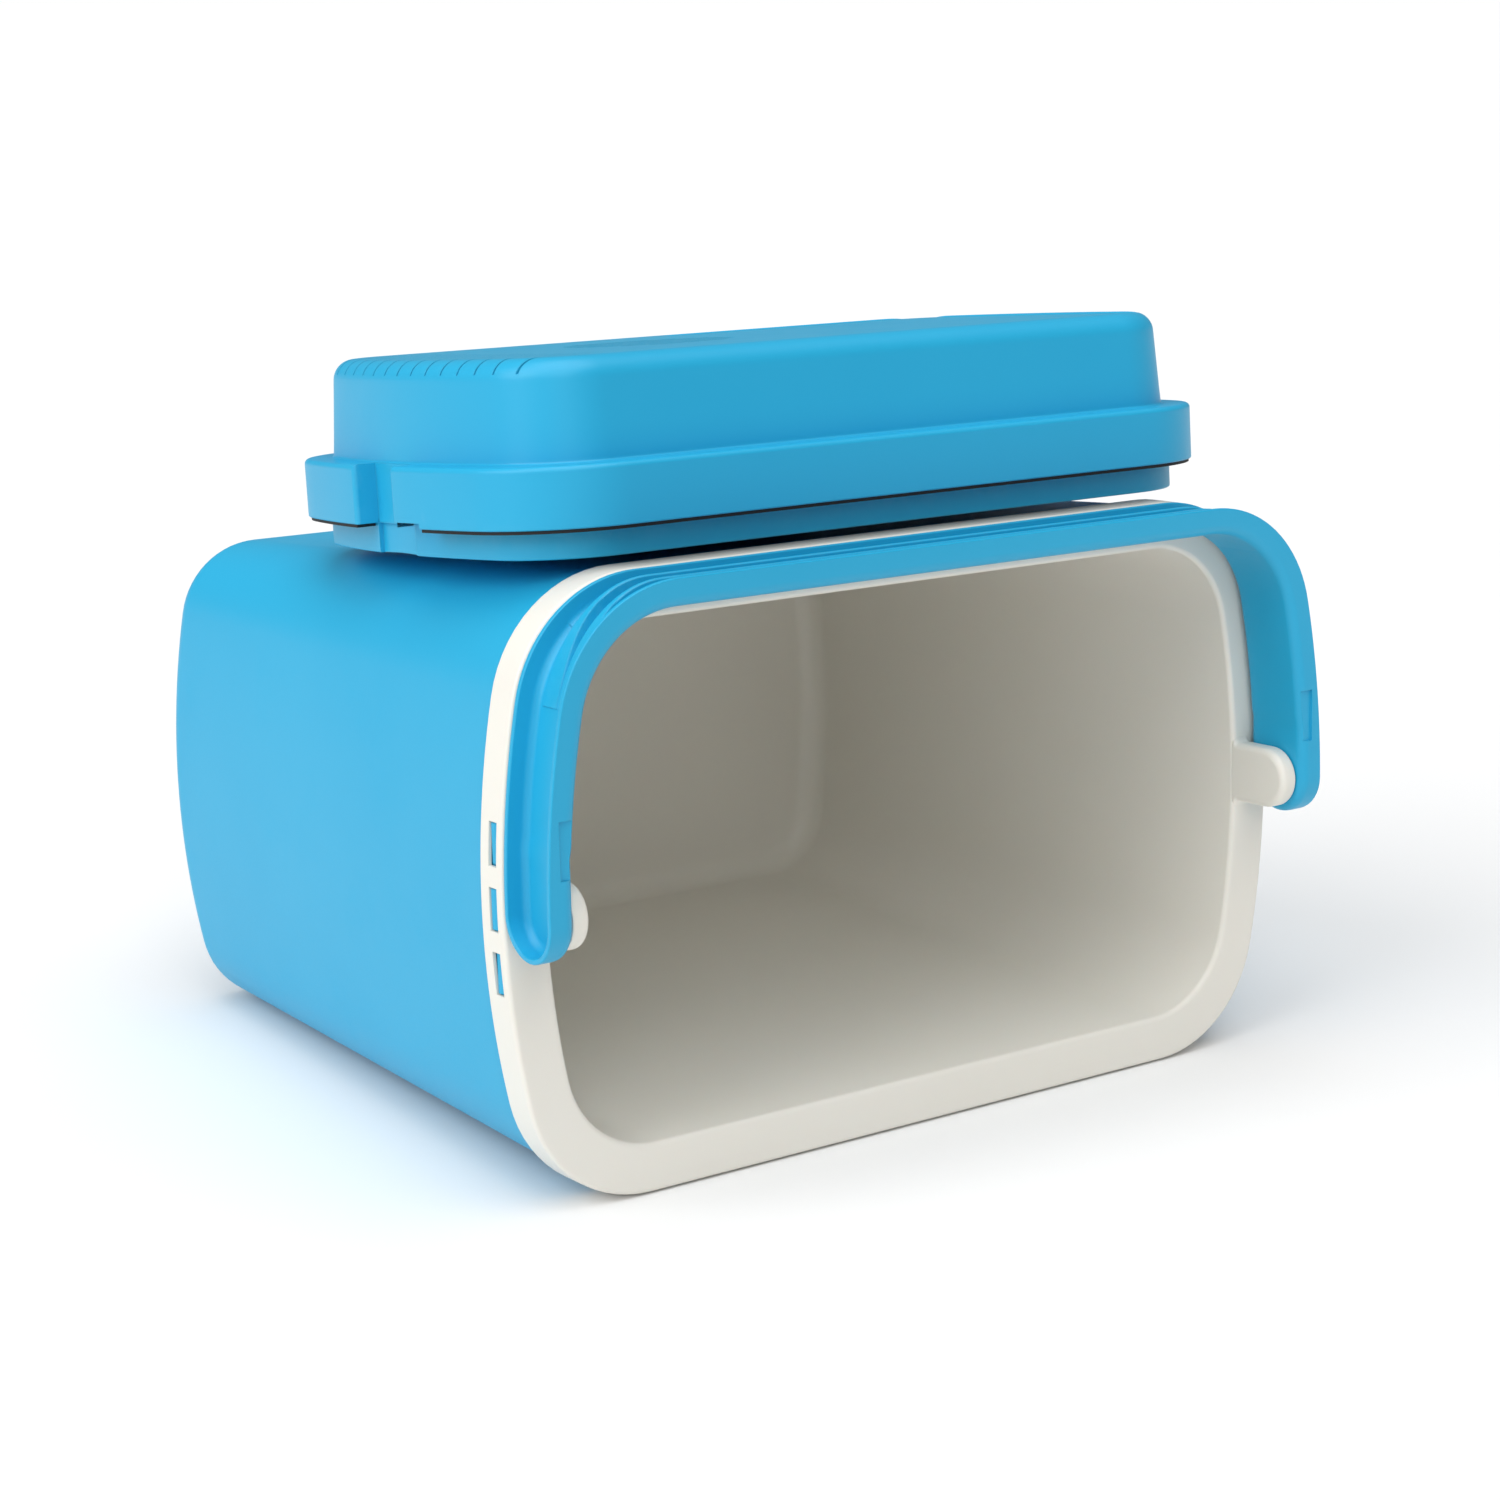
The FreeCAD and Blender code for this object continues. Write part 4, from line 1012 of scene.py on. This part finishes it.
@dataclass
class CarryHandle:
    """The bail: a channel open outwards, with ribs over the bridge and a stud at each pivot.

    Args:
        sizes: Shared sizes.
        lie: The tub's standing frame.
        half_band: Half the band's width.
        arm: Thickness of the arms.
        bridge: Thickness of the bridge.
        inner_corner: Radius of the inner corners.
        skin: Thickness of the channel's floor.
        wall: Thickness of the channel's walls.
        cove: Radius between floor and wall.
        back_round: Radius of the band's back edges.
        lip_round: Radius of the channel's edges.
        step_place: Where the floor steps up, along the outline.
        step_height: How much it steps.
        rib_count: How many ribs.
        rib_half: Half a rib's thickness at the top.
        rib_drop: Rib tops below the channel's edge.
        ear_face: Inner face of the arms beside the ears.
        ear_flat: How far from the pivot that face is flat.
        wall_draft: How much the channel's walls lean.
        rows: Rows of points on the back and on the floor, in from the edge.
        rib_run: Where the ribs start to rise, and over how much of the outline.
        rib_root: Rise of a rib's start above the floor, and sink of its foot.
        rib_edge: Bevel of a rib's top edges, across and down.
        rib_spread: Power by which the ribs widen.
        stud: Radius of a stud and where its tip is along x.
        stud_bevel: Bevel of its tip.
        stud_root: How far it reaches into the arm.
        catch: Start, length, reach and depth of the catch recess.
        catch_from: Where its cutter starts, inside the arm.
    """

    sizes: TubSizes
    lie: Matrix
    half_band: float = 16.4
    arm: float = 11.4
    bridge: float = 11.4
    inner_corner: float = 44.6
    skin: float = 2.6
    wall: float = 2.2
    cove: float = 3.4
    back_round: float = 4.4
    lip_round: float = 0.55
    step_place: float = 1.5
    step_height: float = 0.45
    rib_count: int = 2
    rib_half: float = 1.0
    rib_drop: float = 1.0
    ear_face: float = 188.4
    ear_flat: float = 26.0
    wall_draft: float = 0.3
    rows: Flat = (8.0, 10.0)
    rib_run: Flat = (1.08, 0.84)
    rib_root: Flat = (0.3, 0.8)
    rib_edge: Flat = (0.45, 0.5)
    rib_spread: float = 1.3
    stud: Flat = (6.92, 182.9)
    stud_bevel: float = 0.5
    stud_root: float = 0.6
    catch: tuple[float, float, float, float] = (17.5, 22.5, 5.8, 1.0)
    catch_from: float = 180.0
    places: list[float] = field(default_factory=list)

    def __post_init__(self) -> None:
        """Works out the outlines and the places along them that every loop has."""
        outer = self.sizes.collar
        self.inner = Outline(outer.half_length - self.arm, outer.half_width - self.bridge,
                             outer.end_r - self.arm, self.inner_corner)
        step = [self.step_place - 0.002, self.step_place + 0.002]
        arms = [i / 16 for i in range(17)]
        corner = [1 + i / 20 for i in range(1, 21)]
        side = [2 + i / 12 for i in range(1, 13)]
        self.places = sorted(arms + corner + side + step)

    def spot(self, inner: Flat, outer: Flat, depth: float, from_outer: bool) -> Flat:
        """A point between the inner and the outer outline.

        Args:
            inner: The point on the inner outline.
            outer: The point on the outer outline.
            depth: Distance from one of them.
            from_outer: Whether depth is measured from the outer one.

        Returns:
            The point's x and y.
        """
        gap = math.hypot(outer[0] - inner[0], outer[1] - inner[1])
        share = (gap - depth) / gap if from_outer else depth / gap
        x = inner[0] + (outer[0] - inner[0]) * share
        y = inner[1] + (outer[1] - inner[1]) * share
        return x, y

    def arm_spot(self, y: float, depth: float, from_outer: bool) -> Flat:
        """A point of an arm at a distance y from the pivot, with the flat beside the ear."""
        inner_x = max(self.inner.end_x(y), self.ear_face)
        return self.spot((inner_x, y), (self.sizes.collar.end_x(y), y), depth, from_outer)

    def run_spot(self, place: float, depth: float, from_outer: bool) -> Flat:
        """A point at a place along the outlines."""
        inner = self.inner.station(place)
        if inner[1] < self.ear_flat:
            inner = (max(inner[0], self.ear_face), inner[1])
        return self.spot(inner, self.sizes.collar.station(place), depth, from_outer)

    def ring(self, edge: float, depth: float, from_outer: bool = False, floor: bool = False) -> Loop:
        """One loop round the whole band.

        Args:
            edge: Distance in from the band's edge, in its side view.
            depth: Distance from the back, or from the outside.
            from_outer: Whether depth is measured from the outside.
            floor: Whether the loop lies on the channel's floor, which steps up.

        Returns:
            The loop.
        """
        half = self.half_band - edge
        middle = self.sizes.pivot_z

        def depth_at(place: float) -> float:
            """Depth at a place, with the floor's step."""
            return depth + self.step_height * (floor and place > self.step_place)

        quarter = [self.run_spot(place, depth_at(place), from_outer) for place in self.places]
        span = quarter + [(-x, y) for x, y in reversed(quarter[:-1])]
        nose = bend(0.0, 0.0, half, 90, 270, 20)[1:-1]
        ends = [(*self.arm_spot(y, depth, from_outer), middle + rise) for y, rise in nose]
        loop = [(x, y, middle + half) for x, y in span]
        loop += [(-x, y, z) for x, y, z in ends]
        loop += [(x, y, middle - half) for x, y in reversed(span)]
        return loop + ends[::-1]

    def band(self) -> Skin:
        """The channel, from its back's middle over both walls to its floor's middle."""
        back_row, floor_row = self.rows
        rings = [self.ring(self.half_band, 0.0), self.ring(back_row, 0.0)]
        back = self.back_round
        rings += [self.ring(edge, depth) for edge, depth in arc(back, back, back, -90, 0, 5)]
        lip = self.lip_round
        rings += [self.ring(edge, lip - rise, True) for edge, rise in arc(lip, 0.0, lip, 0, 90, 4)]
        curve = arc(lip, 0.0, lip, 90, 0, 4)
        rings += [self.ring(self.wall - edge, lip - rise, True) for edge, rise in curve]
        cove = self.cove
        for angle in turns(0, 90, 7):
            edge = self.wall + self.wall_draft + cove * (1 - math.cos(angle))
            rings.append(self.ring(edge, self.skin + cove * (1 - math.sin(angle)), floor=True))
        rings.append(self.ring(floor_row, self.skin, floor=True))
        rings.append(self.ring(self.half_band, self.skin, floor=True))
        return Skin().tube(rings, cap_ends=False)

    def ramp(self, place: float) -> float:
        """How far the ribs have risen from the floor at a place along the outline."""
        start, length = self.rib_run
        share = min(max((place - start) / length, 0.0), 1.0)
        return share * share * (3 - 2 * share)

    def ribs(self) -> Skin:
        """Ribs over the bridge that widen and run out into the floor at the corners."""
        skin = Skin()
        bay = 2 * (self.half_band - self.wall)
        pitch = (bay + 2 * self.rib_half) / (self.rib_count + 1)
        start, sink = self.rib_root
        bevel, drop = self.rib_edge
        places = [place for place in self.places if place >= 1.0]
        for number in range(self.rib_count):
            centre = self.sizes.pivot_z + (number - (self.rib_count - 1) / 2) * pitch
            loops = []
            for side in (1, -1):
                half_run = []
                for place in places:
                    rise = self.ramp(place)
                    gap = math.dist(self.inner.station(place), self.sizes.collar.station(place))
                    top = self.skin + start + (gap - self.rib_drop - self.skin - start) * rise
                    half = self.rib_half + (pitch / 2 - self.rib_half) * (1 - rise) ** self.rib_spread
                    foot = min(pitch / 2, half + drop)
                    edge = [(half - bevel, top), (half, top - drop), (foot, self.skin - sink)]
                    section = [(-across, depth) for across, depth in reversed(edge)] + edge
                    spots = [(self.run_spot(place, depth, False), across) for across, depth in section]
                    half_run.append([(side * x, y, centre + across) for (x, y), across in spots])
                loops += half_run if side == 1 else list(reversed(half_run[:-1]))
            skin.tube(loops)
        return skin

    def studs(self) -> Skin:
        """The studs that turn in the ears."""
        radius, tip = self.stud
        skin = Skin()
        for side in (-1, 1):
            root = self.ear_face + self.stud_root
            bevel = self.stud_bevel
            section = [(AXIS_HOLE, tip), (radius - bevel, tip), (radius, tip + bevel)]
            section += [(radius, root), (AXIS_HOLE, root)]
            skin.lathe([(r, side * x) for r, x in section], (0.0, 0.0, self.sizes.pivot_z), "x")
        return skin

    def catches(self) -> Skin:
        """Cutters of the shallow catch recess in the front edge of each arm."""
        start, length, reach, depth = self.catch
        front = self.sizes.pivot_z + self.half_band
        skin = Skin()
        for side in (-1, 1):
            near, far = sorted((side * self.catch_from, side * (self.inner.half_length + reach)))
            skin.block((near, start, front - depth), (far, start + length, front + 2 * CLEAR))
        return skin

    def build(self, shop: PaintShop) -> list[bpy.types.Object]:
        """Builds and dresses the handle.

        Args:
            shop: Where finishes come from.

        Returns:
            The pieces.
        """
        band = self.band().to_object("handle_band", self.lie)
        cut_away(band, self.catches(), self.lie)
        ribs = self.ribs().to_object("handle_ribs", self.lie)
        studs = self.studs().to_object("handle_studs", self.lie)
        for piece in (band, ribs, studs):
            smooth(piece)
            shop.dress(piece, Finish.HANDLE)
            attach(piece, "handle")
        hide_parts("carry_handle")
        return [band, ribs, studs]


# ------------------------------------------------------------------------------ the lid
@dataclass(frozen=True)
class LidSizes:
    """Sizes that the lid's cover and base share, in millimetres.

    Args:
        skirt: Outline of the skirt.
        plug_inset: Plug ring inside the skirt.
        skirt_bottom: Height of the skirt's lower edge.
        skirt_top: Height of its upper edge.
        height: Height of the whole lid.
        slot_half: Half the width of an ear slot.
        slot_depth: Depth of an ear slot.
        wall: Wall thickness.
    """

    skirt: Outline = Outline(188.0, 107.0, 330.0, 49.0)
    plug_inset: float = 9.8
    skirt_bottom: float = 12.3
    skirt_top: float = 36.5
    height: float = 77.0
    slot_half: float = 15.2
    slot_depth: float = 10.6
    wall: float = 2.4

    @property
    def plug(self) -> Outline:
        """Outline of the plug ring."""
        return self.skirt.inset(self.plug_inset)


@dataclass
class LidCover:
    """The lid's upper moulding, with its skirt, ear slots, vents, intake and openings.

    Args:
        sizes: Shared sizes.
        lie: The lid's standing frame.
        foot_inset: Foot of the housing inside the skirt.
        draft: How much the housing narrows to its top.
        crown_round: Radius of the housing's top edge.
        skirt_round: Radius of the skirt's top edge.
        skirt_bevel: Bevel of its lower edge.
        skirt_row: Height of the row of points on the skirt.
        foot_round: Radius where the housing meets the ledge.
        slot_round: Radius of the slots' upright edges.
        vent_count: How many outlet slits.
        vent_pitch: Between the slits.
        vent_width: A slit's width.
        vent_reach: Where the slits end on the top, along x.
        vent_drop: How far they come down the end.
        intake_count: How many intake slots.
        intake_pitch: Between the intake slots.
        intake_width: An intake slot's width.
        intake_r: Radius of the patch of intake slots.
        tray: Start, end and depth of the tray in the top.
        tray_corner: Radius of the tray's corners.
        tray_slope: How far its edge slopes outwards.
        notch: Length and height of the notch beside a slot.
        notch_span: Where it starts and ends, along x.
        control_y: Where the back's wall is, at the inlet's height.
        control_z: Height of inlet, switch and lamp.
        round_holes: Place along x, radius and steps round of the inlet's and the lamp's hole.
        switch_hole: Place along x, half length and half height of the switch's hole.
    """

    sizes: LidSizes
    lie: Matrix
    fan_x: float
    foot_inset: float = 12.5
    draft: float = 2.2
    crown_round: float = 9.0
    skirt_round: float = 2.2
    skirt_bevel: float = 0.4
    skirt_row: float = 12.0
    foot_round: float = 1.2
    slot_round: float = 2.0
    vent_count: int = 15
    vent_pitch: float = 10.8
    vent_width: float = 0.9
    vent_reach: float = -128.0
    vent_drop: float = 5.8
    intake_count: int = 9
    intake_pitch: float = 7.5
    intake_width: float = 2.6
    intake_r: float = 35.0
    tray: tuple[float, float, float] = (5.0, 158.0, 0.6)
    tray_corner: float = 8.0
    tray_slope: float = 0.5
    notch: Flat = (19.0, 2.2)
    notch_span: Flat = (175.4, 189.5)
    control_y: float = 93.0
    control_z: float = 54.0
    round_holes: tuple[tuple[float, float, int], ...] = ((118.0, 9.3, 48), (50.0, 2.8, 24))
    switch_hole: Point = (74.0, 13.3, 6.8)

    def section(self) -> list[Loop]:
        """Loops from the inside of the top, round the skirt and up to the top's flat."""
        sizes = self.sizes
        inner = self.foot_inset + sizes.wall
        inner_round = self.crown_round - sizes.wall
        roof = sizes.height - sizes.wall
        crown = self.crown_round
        levels = [(inner + self.draft + i, z)
                  for i, z in arc(inner_round, roof - inner_round, inner_round, 90, 0, 5)]
        low, high, bevel = sizes.skirt_bottom, sizes.skirt_top, self.skirt_bevel
        levels += [(inner, high), (inner, low), (bevel, low), (0.0, low + bevel)]
        levels.append((0.0, low + self.skirt_row))
        levels += arc(self.skirt_round, high - self.skirt_round, self.skirt_round, 0, 90, 6)
        levels.append((self.skirt_round + FLAT_RIM, high))
        foot = self.foot_round
        ledge = self.foot_inset - foot
        levels += bend(ledge, sizes.skirt_top + foot, foot, -90, 0, 6)
        top = sizes.height - crown
        rise = top - sizes.skirt_top
        levels += [(self.foot_inset + self.draft * share, sizes.skirt_top + rise * share)
                   for share in (0.25, 0.6)]
        levels += [(self.foot_inset + self.draft + i, z) for i, z in arc(crown, top, crown, 0, 90, 12)]
        return [sizes.skirt.inset(inset).loop(z) for inset, z in levels]

    def slots(self) -> Skin:
        """Cutters of the ear slots, with a round mouth."""
        sizes = self.sizes
        floor = sizes.skirt.half_length - sizes.slot_depth
        lip = self.slot_round
        mouth = sizes.skirt.end_x(sizes.slot_half + lip)
        half = sizes.slot_half
        edge = bend(mouth - lip, half + lip, lip, -90, 0, 5)
        outline = [(floor, -half)] + [(x, -y) for x, y in edge] + [(mouth + 2 * lip, -half - lip)]
        outline += [(mouth + 2 * lip, half + lip)] + list(reversed(edge)) + [(floor, half)]
        skin = Skin()
        for side in (-1, 1):
            turned = [(side * x, side * y) for x, y in outline]
            skin.prism(turned, sizes.skirt_bottom - CLEAR, sizes.skirt_top + CLEAR)
        return skin

    def notches(self) -> Skin:
        """Cutters of the notch in the skirt's lower edge beside each slot."""
        length, height = self.notch
        sizes = self.sizes
        skin = Skin()
        for side in (-1, 1):
            ends = sorted((side * sizes.slot_half, side * (sizes.slot_half + length)))
            near, far = sorted(side * x for x in self.notch_span)
            low, high = sizes.skirt_bottom - CLEAR, sizes.skirt_bottom + height
            skin.block((near, ends[0], low), (far, ends[1], high))
        return skin

    def tray_cutter(self) -> Skin:
        """Cutter of the shallow tray in the top, with round corners and a sloped edge."""
        start, end, depth = self.tray
        half = self.sizes.skirt.half_width - self.foot_inset - self.draft - self.crown_round
        top = self.sizes.height
        loops = []
        slope = self.tray_slope
        for grow, z in ((0.0, top - depth), (slope, top + SLIVER), (slope, top + 2 * CLEAR)):
            loop = []
            reach = self.tray_corner + grow
            for corner in range(4):
                cx = (end - self.tray_corner) if corner in (0, 3) else (start + self.tray_corner)
                cy = (half - self.tray_corner) * (1 if corner < 2 else -1)
                loop += bend(cx, cy, reach, 90 * corner, 90 * corner + 90, 6)
            loops.append([(x, y, z) for x, y in loop])
        return Skin().tube(loops)

    def air_slots(self) -> Skin:
        """Cutters of the outlet slits over the end and of the intake over the fan."""
        top = self.sizes.height
        skin = Skin()
        for i in range(self.vent_count):
            y = (i - (self.vent_count - 1) / 2) * self.vent_pitch
            skin.block((-self.sizes.skirt.half_length, y - self.vent_width / 2, top - self.vent_drop),
                       (self.vent_reach, y + self.vent_width / 2, top + CLEAR))
        for i in range(self.intake_count):
            y = (i - (self.intake_count - 1) / 2) * self.intake_pitch
            half = math.sqrt(self.intake_r**2 - y**2)
            tip = self.intake_width / 2
            ends = bend(half, 0.0, tip, -90, 90, 6)
            outline = ends + [(-x, -v) for x, v in ends]
            slot = [(self.fan_x + u, y + v) for u, v in outline]
            skin.prism(slot, top - self.sizes.wall - CLEAR, top + CLEAR)
        return skin

    def openings(self) -> Skin:
        """Cutters for the inlet, the switch and the lamp in the back."""
        skin = Skin()
        deep, out = -14.0, 6.0
        for x, radius, steps in self.round_holes:
            skin.lathe([(radius, deep), (radius, out)], (x, self.control_y, self.control_z), "y", steps)
        x, half, rise = self.switch_hole
        skin.block((x - half, self.control_y + deep, self.control_z - rise),
                   (x + half, self.control_y + out, self.control_z + rise))
        return skin

    def build(self, shop: PaintShop) -> list[bpy.types.Object]:
        """Builds and dresses the cover.

        Args:
            shop: Where finishes come from.

        Returns:
            The pieces.
        """
        cover = Skin().tube(self.section()).to_object("lid_top", self.lie)
        for cutter in (self.slots, self.notches, self.tray_cutter, self.air_slots, self.openings):
            cut_away(cover, cutter(), self.lie)
        smooth(cover)
        shop.dress(cover, Finish.LID)
        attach(cover, "lid")
        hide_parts("lid_cover")
        return [cover]


@dataclass
class LidBase:
    """The lid's lower moulding: the plug ring that fits the tub's mouth, and the base plate.

    Args:
        sizes: Shared sizes.
        lie: The lid's standing frame.
        fan_x: Centre of the cooling unit.
        ring_wall: Thickness of the plug ring.
        plate_lift: Underside of the plate above the ring's edge.
        plate: Thickness of the plate.
        plate_rows: Insets of the rows of points on the plate.
        ring_rise: The ring's top above the skirt's lower edge.
        ring_foot: Inset and height of the points of the ring's inner lower edge.
        edge_round: Radius of the ring's outer lower edge.
        recess: How far the ring stands back behind each slot.
        hole: Width of the square hole round the grille.
    """

    sizes: LidSizes
    lie: Matrix
    fan_x: float
    ring_wall: float = 4.8
    plate_lift: float = 0.8
    plate: float = 2.4
    plate_rows: tuple[float, ...] = (2.6, 6.0, 30.0)
    ring_rise: float = 1.6
    ring_foot: tuple[Flat, ...] = ((1.8, 0.0), (2.2, 0.3))
    edge_round: float = 0.9
    recess: float = 2.3
    hole: float = 92.6

    def section(self) -> list[Loop]:
        """Loops from the plate's upper side round the ring to the plate's underside."""
        plug = self.sizes.plug
        top = self.sizes.skirt_bottom + self.ring_rise
        plate_top = self.plate_lift + self.plate
        levels = [(self.plate_rows[-1], plate_top), (self.ring_wall, plate_top)]
        levels += [(self.ring_wall, top), (0.0, top)]
        levels += arc(self.edge_round, self.edge_round, self.edge_round, 0, -90, 5)
        levels += self.ring_foot
        levels += [(inset, self.plate_lift) for inset in self.plate_rows]
        return [plug.inset(inset).loop(z) for inset, z in levels]

    def cutters(self) -> Skin:
        """The recesses behind the slots and the hole for the grille."""
        skin = Skin()
        sizes = self.sizes
        low, high = -2.0, 20.0
        start, end = sizes.plug.half_length - self.recess, sizes.skirt.half_length + 2 * CLEAR
        for side in (-1, 1):
            near, far = sorted((side * start, side * end))
            skin.block((near, -sizes.slot_half, low), (far, sizes.slot_half, high))
        half = self.hole / 2
        skin.block((self.fan_x - half, -half, low), (self.fan_x + half, half, high))
        return skin

    def build(self, shop: PaintShop) -> list[bpy.types.Object]:
        """Builds and dresses the base.

        Args:
            shop: Where finishes come from.

        Returns:
            The pieces.
        """
        base = Skin().tube(self.section()).to_object("lid_plug", self.lie)
        cut_away(base, self.cutters(), self.lie)
        smooth(base)
        shop.dress(base, Finish.LID)
        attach(base, "lid")
        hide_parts("lid_base")
        return [base]


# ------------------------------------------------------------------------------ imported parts
@dataclass
class PackedParts:
    """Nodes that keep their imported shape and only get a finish.

    Args:
        parts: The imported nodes.
    """

    parts: dict[str, bpy.types.Object]
    finishes: dict[str, Finish] = field(default_factory=lambda: {
        "wall_insulation": Finish.FOAM,
        "lid_insulation": Finish.FOAM,
        "lid_seal": Finish.SEAL,
        "cold_grille": Finish.BLACK,
        "cold_fan_frame": Finish.BLACK,
        "cold_fan_rotor": Finish.BLACK,
        "hot_fan_frame": Finish.BLACK,
        "hot_fan_rotor": Finish.BLACK,
        "cold_heat_sink": Finish.ALUMINIUM,
        "hot_heat_sink": Finish.ALUMINIUM,
        "spacer_block": Finish.ALUMINIUM,
        "cooling_module": Finish.CERAMIC,
        "clamp_screws": Finish.STEEL,
        "lid_screws": Finish.STEEL,
        "control_board": Finish.BOARD,
        "power_inlet": Finish.BLACK,
        "switch_housing": Finish.BLACK,
        "mode_switch": Finish.SWITCH,
        "status_lamp": Finish.LAMP,
    })

    def dress(self, shop: PaintShop) -> list[bpy.types.Object]:
        """Dresses every node on the list and returns them."""
        dressed = []
        for name, finish in self.finishes.items():
            shop.dress(self.parts[name], finish)
            dressed.append(self.parts[name])
        return dressed


# ------------------------------------------------------------------------------ studio
def direction(bearing: float, height: float) -> Vector:
    """A direction by its bearing from +y towards +x and its height, both in degrees."""
    turn = math.radians(bearing)
    rise = math.radians(height)
    flat = math.cos(rise)
    return Vector((math.sin(turn) * flat, math.cos(turn) * flat, math.sin(rise)))


@dataclass
class Studio:
    """Floor, sky, lamps and camera, with the plain display curve.

    Args:
        eye: Where the camera stands, in metres.
        turn: The way it looks, degrees from +y towards +x.
        dip: How far it looks down, in degrees.
        roll: How far it is rolled, in degrees.
        lens: Focal length in millimetres.
        sensor: Width of the sensor in millimetres.
        sky: Brightness of the sky.
        floor_reach: Half the floor's width, in metres.
        lamps: Name, bearing, height, spread and power of each lamp.
    """

    eye: Point = (-0.77824, -1.11827, 0.47028)
    turn: float = 35.533
    dip: float = 13.991
    roll: float = 0.261
    lens: float = 74.625
    sensor: float = 36.0
    sky: float = 0.20
    floor_reach: float = 90.0
    lamps: tuple[tuple[str, float, float, float, float], ...] = (
        ("overhead_lamp", 190.0, 80.0, 60.0, 1.9),
        ("left_lamp", 272.0, 35.0, 50.0, 1.62),
        ("front_lamp", 208.0, 34.0, 36.0, 0.6),
    )

    def camera(self) -> None:
        """Sets up the camera."""
        data = bpy.data.cameras.new("camera")
        data.lens = self.lens
        data.sensor_width = self.sensor
        camera = bpy.data.objects.new("camera", data)
        bpy.context.scene.collection.objects.link(camera)
        look = direction(self.turn, -self.dip)
        aim = look.to_track_quat("-Z", "Y").to_matrix().to_4x4()
        tilt = Matrix.Rotation(math.radians(self.roll), 4, "Z")
        camera.matrix_world = Matrix.Translation(Vector(self.eye)) @ aim @ tilt
        bpy.context.scene.camera = camera

    def floor(self) -> None:
        """Lays the floor."""
        mesh = bpy.data.meshes.new("floor")
        reach = self.floor_reach
        corners = [(x * reach, y * reach, 0.0) for x, y in ((-1, -1), (1, -1), (1, 1), (-1, 1))]
        mesh.from_pydata(corners, [], [(0, 1, 2, 3)])
        floor = bpy.data.objects.new("floor", mesh)
        bpy.context.scene.collection.objects.link(floor)
        bench = Bench("floor_paper")
        fibre = bench.noise(300.0, 3.0)
        tone = bench.blend(fibre * 0.3, (0.90, 0.90, 0.90), (0.88, 0.88, 0.88))
        mesh.materials.append(bench.finish(Base_Color=tone, Roughness=0.75 + fibre * 0.1))

    def lamp(self, name: str, bearing: float, height: float, spread: float, power: float) -> None:
        """Hangs a far, soft lamp.

        Args:
            name: The lamp's name.
            bearing: Where it hangs, degrees from +y towards +x.
            height: How high, degrees above the floor.
            spread: Angle that it fills, in degrees.
            power: Its light on a facing surface.
        """
        data = bpy.data.lights.new(name, "SUN")
        data.angle = math.radians(spread)
        data.energy = power
        lamp = bpy.data.objects.new(name, data)
        bpy.context.scene.collection.objects.link(lamp)
        lamp.rotation_euler = (-direction(bearing, height)).to_track_quat("-Z", "Y").to_euler()

    def build(self) -> None:
        """Builds the studio."""
        scene = bpy.context.scene
        scene.view_settings.view_transform = "Standard"
        world = bpy.data.worlds.new("sky")
        world.use_nodes = True
        sky = world.node_tree.nodes["Background"]
        sky.inputs["Color"].default_value = (1.0, 1.0, 1.0, 1.0)
        sky.inputs["Strength"].default_value = self.sky
        scene.world = world
        self.floor()
        for lamp in self.lamps:
            self.lamp(*lamp)
        self.camera()


def main() -> None:
    """Builds the chest and its studio, and writes how large it came out."""
    logging.basicConfig(level=logging.INFO, format="%(name)s: %(message)s")
    parts = frame["nodes"]
    record = frame["record"]
    shop = PaintShop()
    tub = tub_lie(record)
    lid = lid_lie(parts, record)
    fan = next(j for j in record["behaviour"]["joints"] if j["name"] == "cold_fan_spin")
    fan_x = (lid.inverted() @ Vector(fan["pos_m"])).x
    tub_sizes = TubSizes()
    lid_sizes = LidSizes()
    assemblies = [
        OuterShell(tub_sizes, tub),
        InnerLiner(tub_sizes, tub),
        CarryHandle(tub_sizes, tub),
        LidCover(lid_sizes, lid, fan_x),
        LidBase(lid_sizes, lid, fan_x),
    ]
    for assembly in assemblies:
        for piece in assembly.build(shop):
            LOG.info("%s: %d faces", piece.name, len(piece.data.polygons))
    for piece in PackedParts(parts).dress(shop):
        LOG.info("%s keeps its packed shape", piece.name)
    Studio().build()


if __name__ == "__main__":
    main()
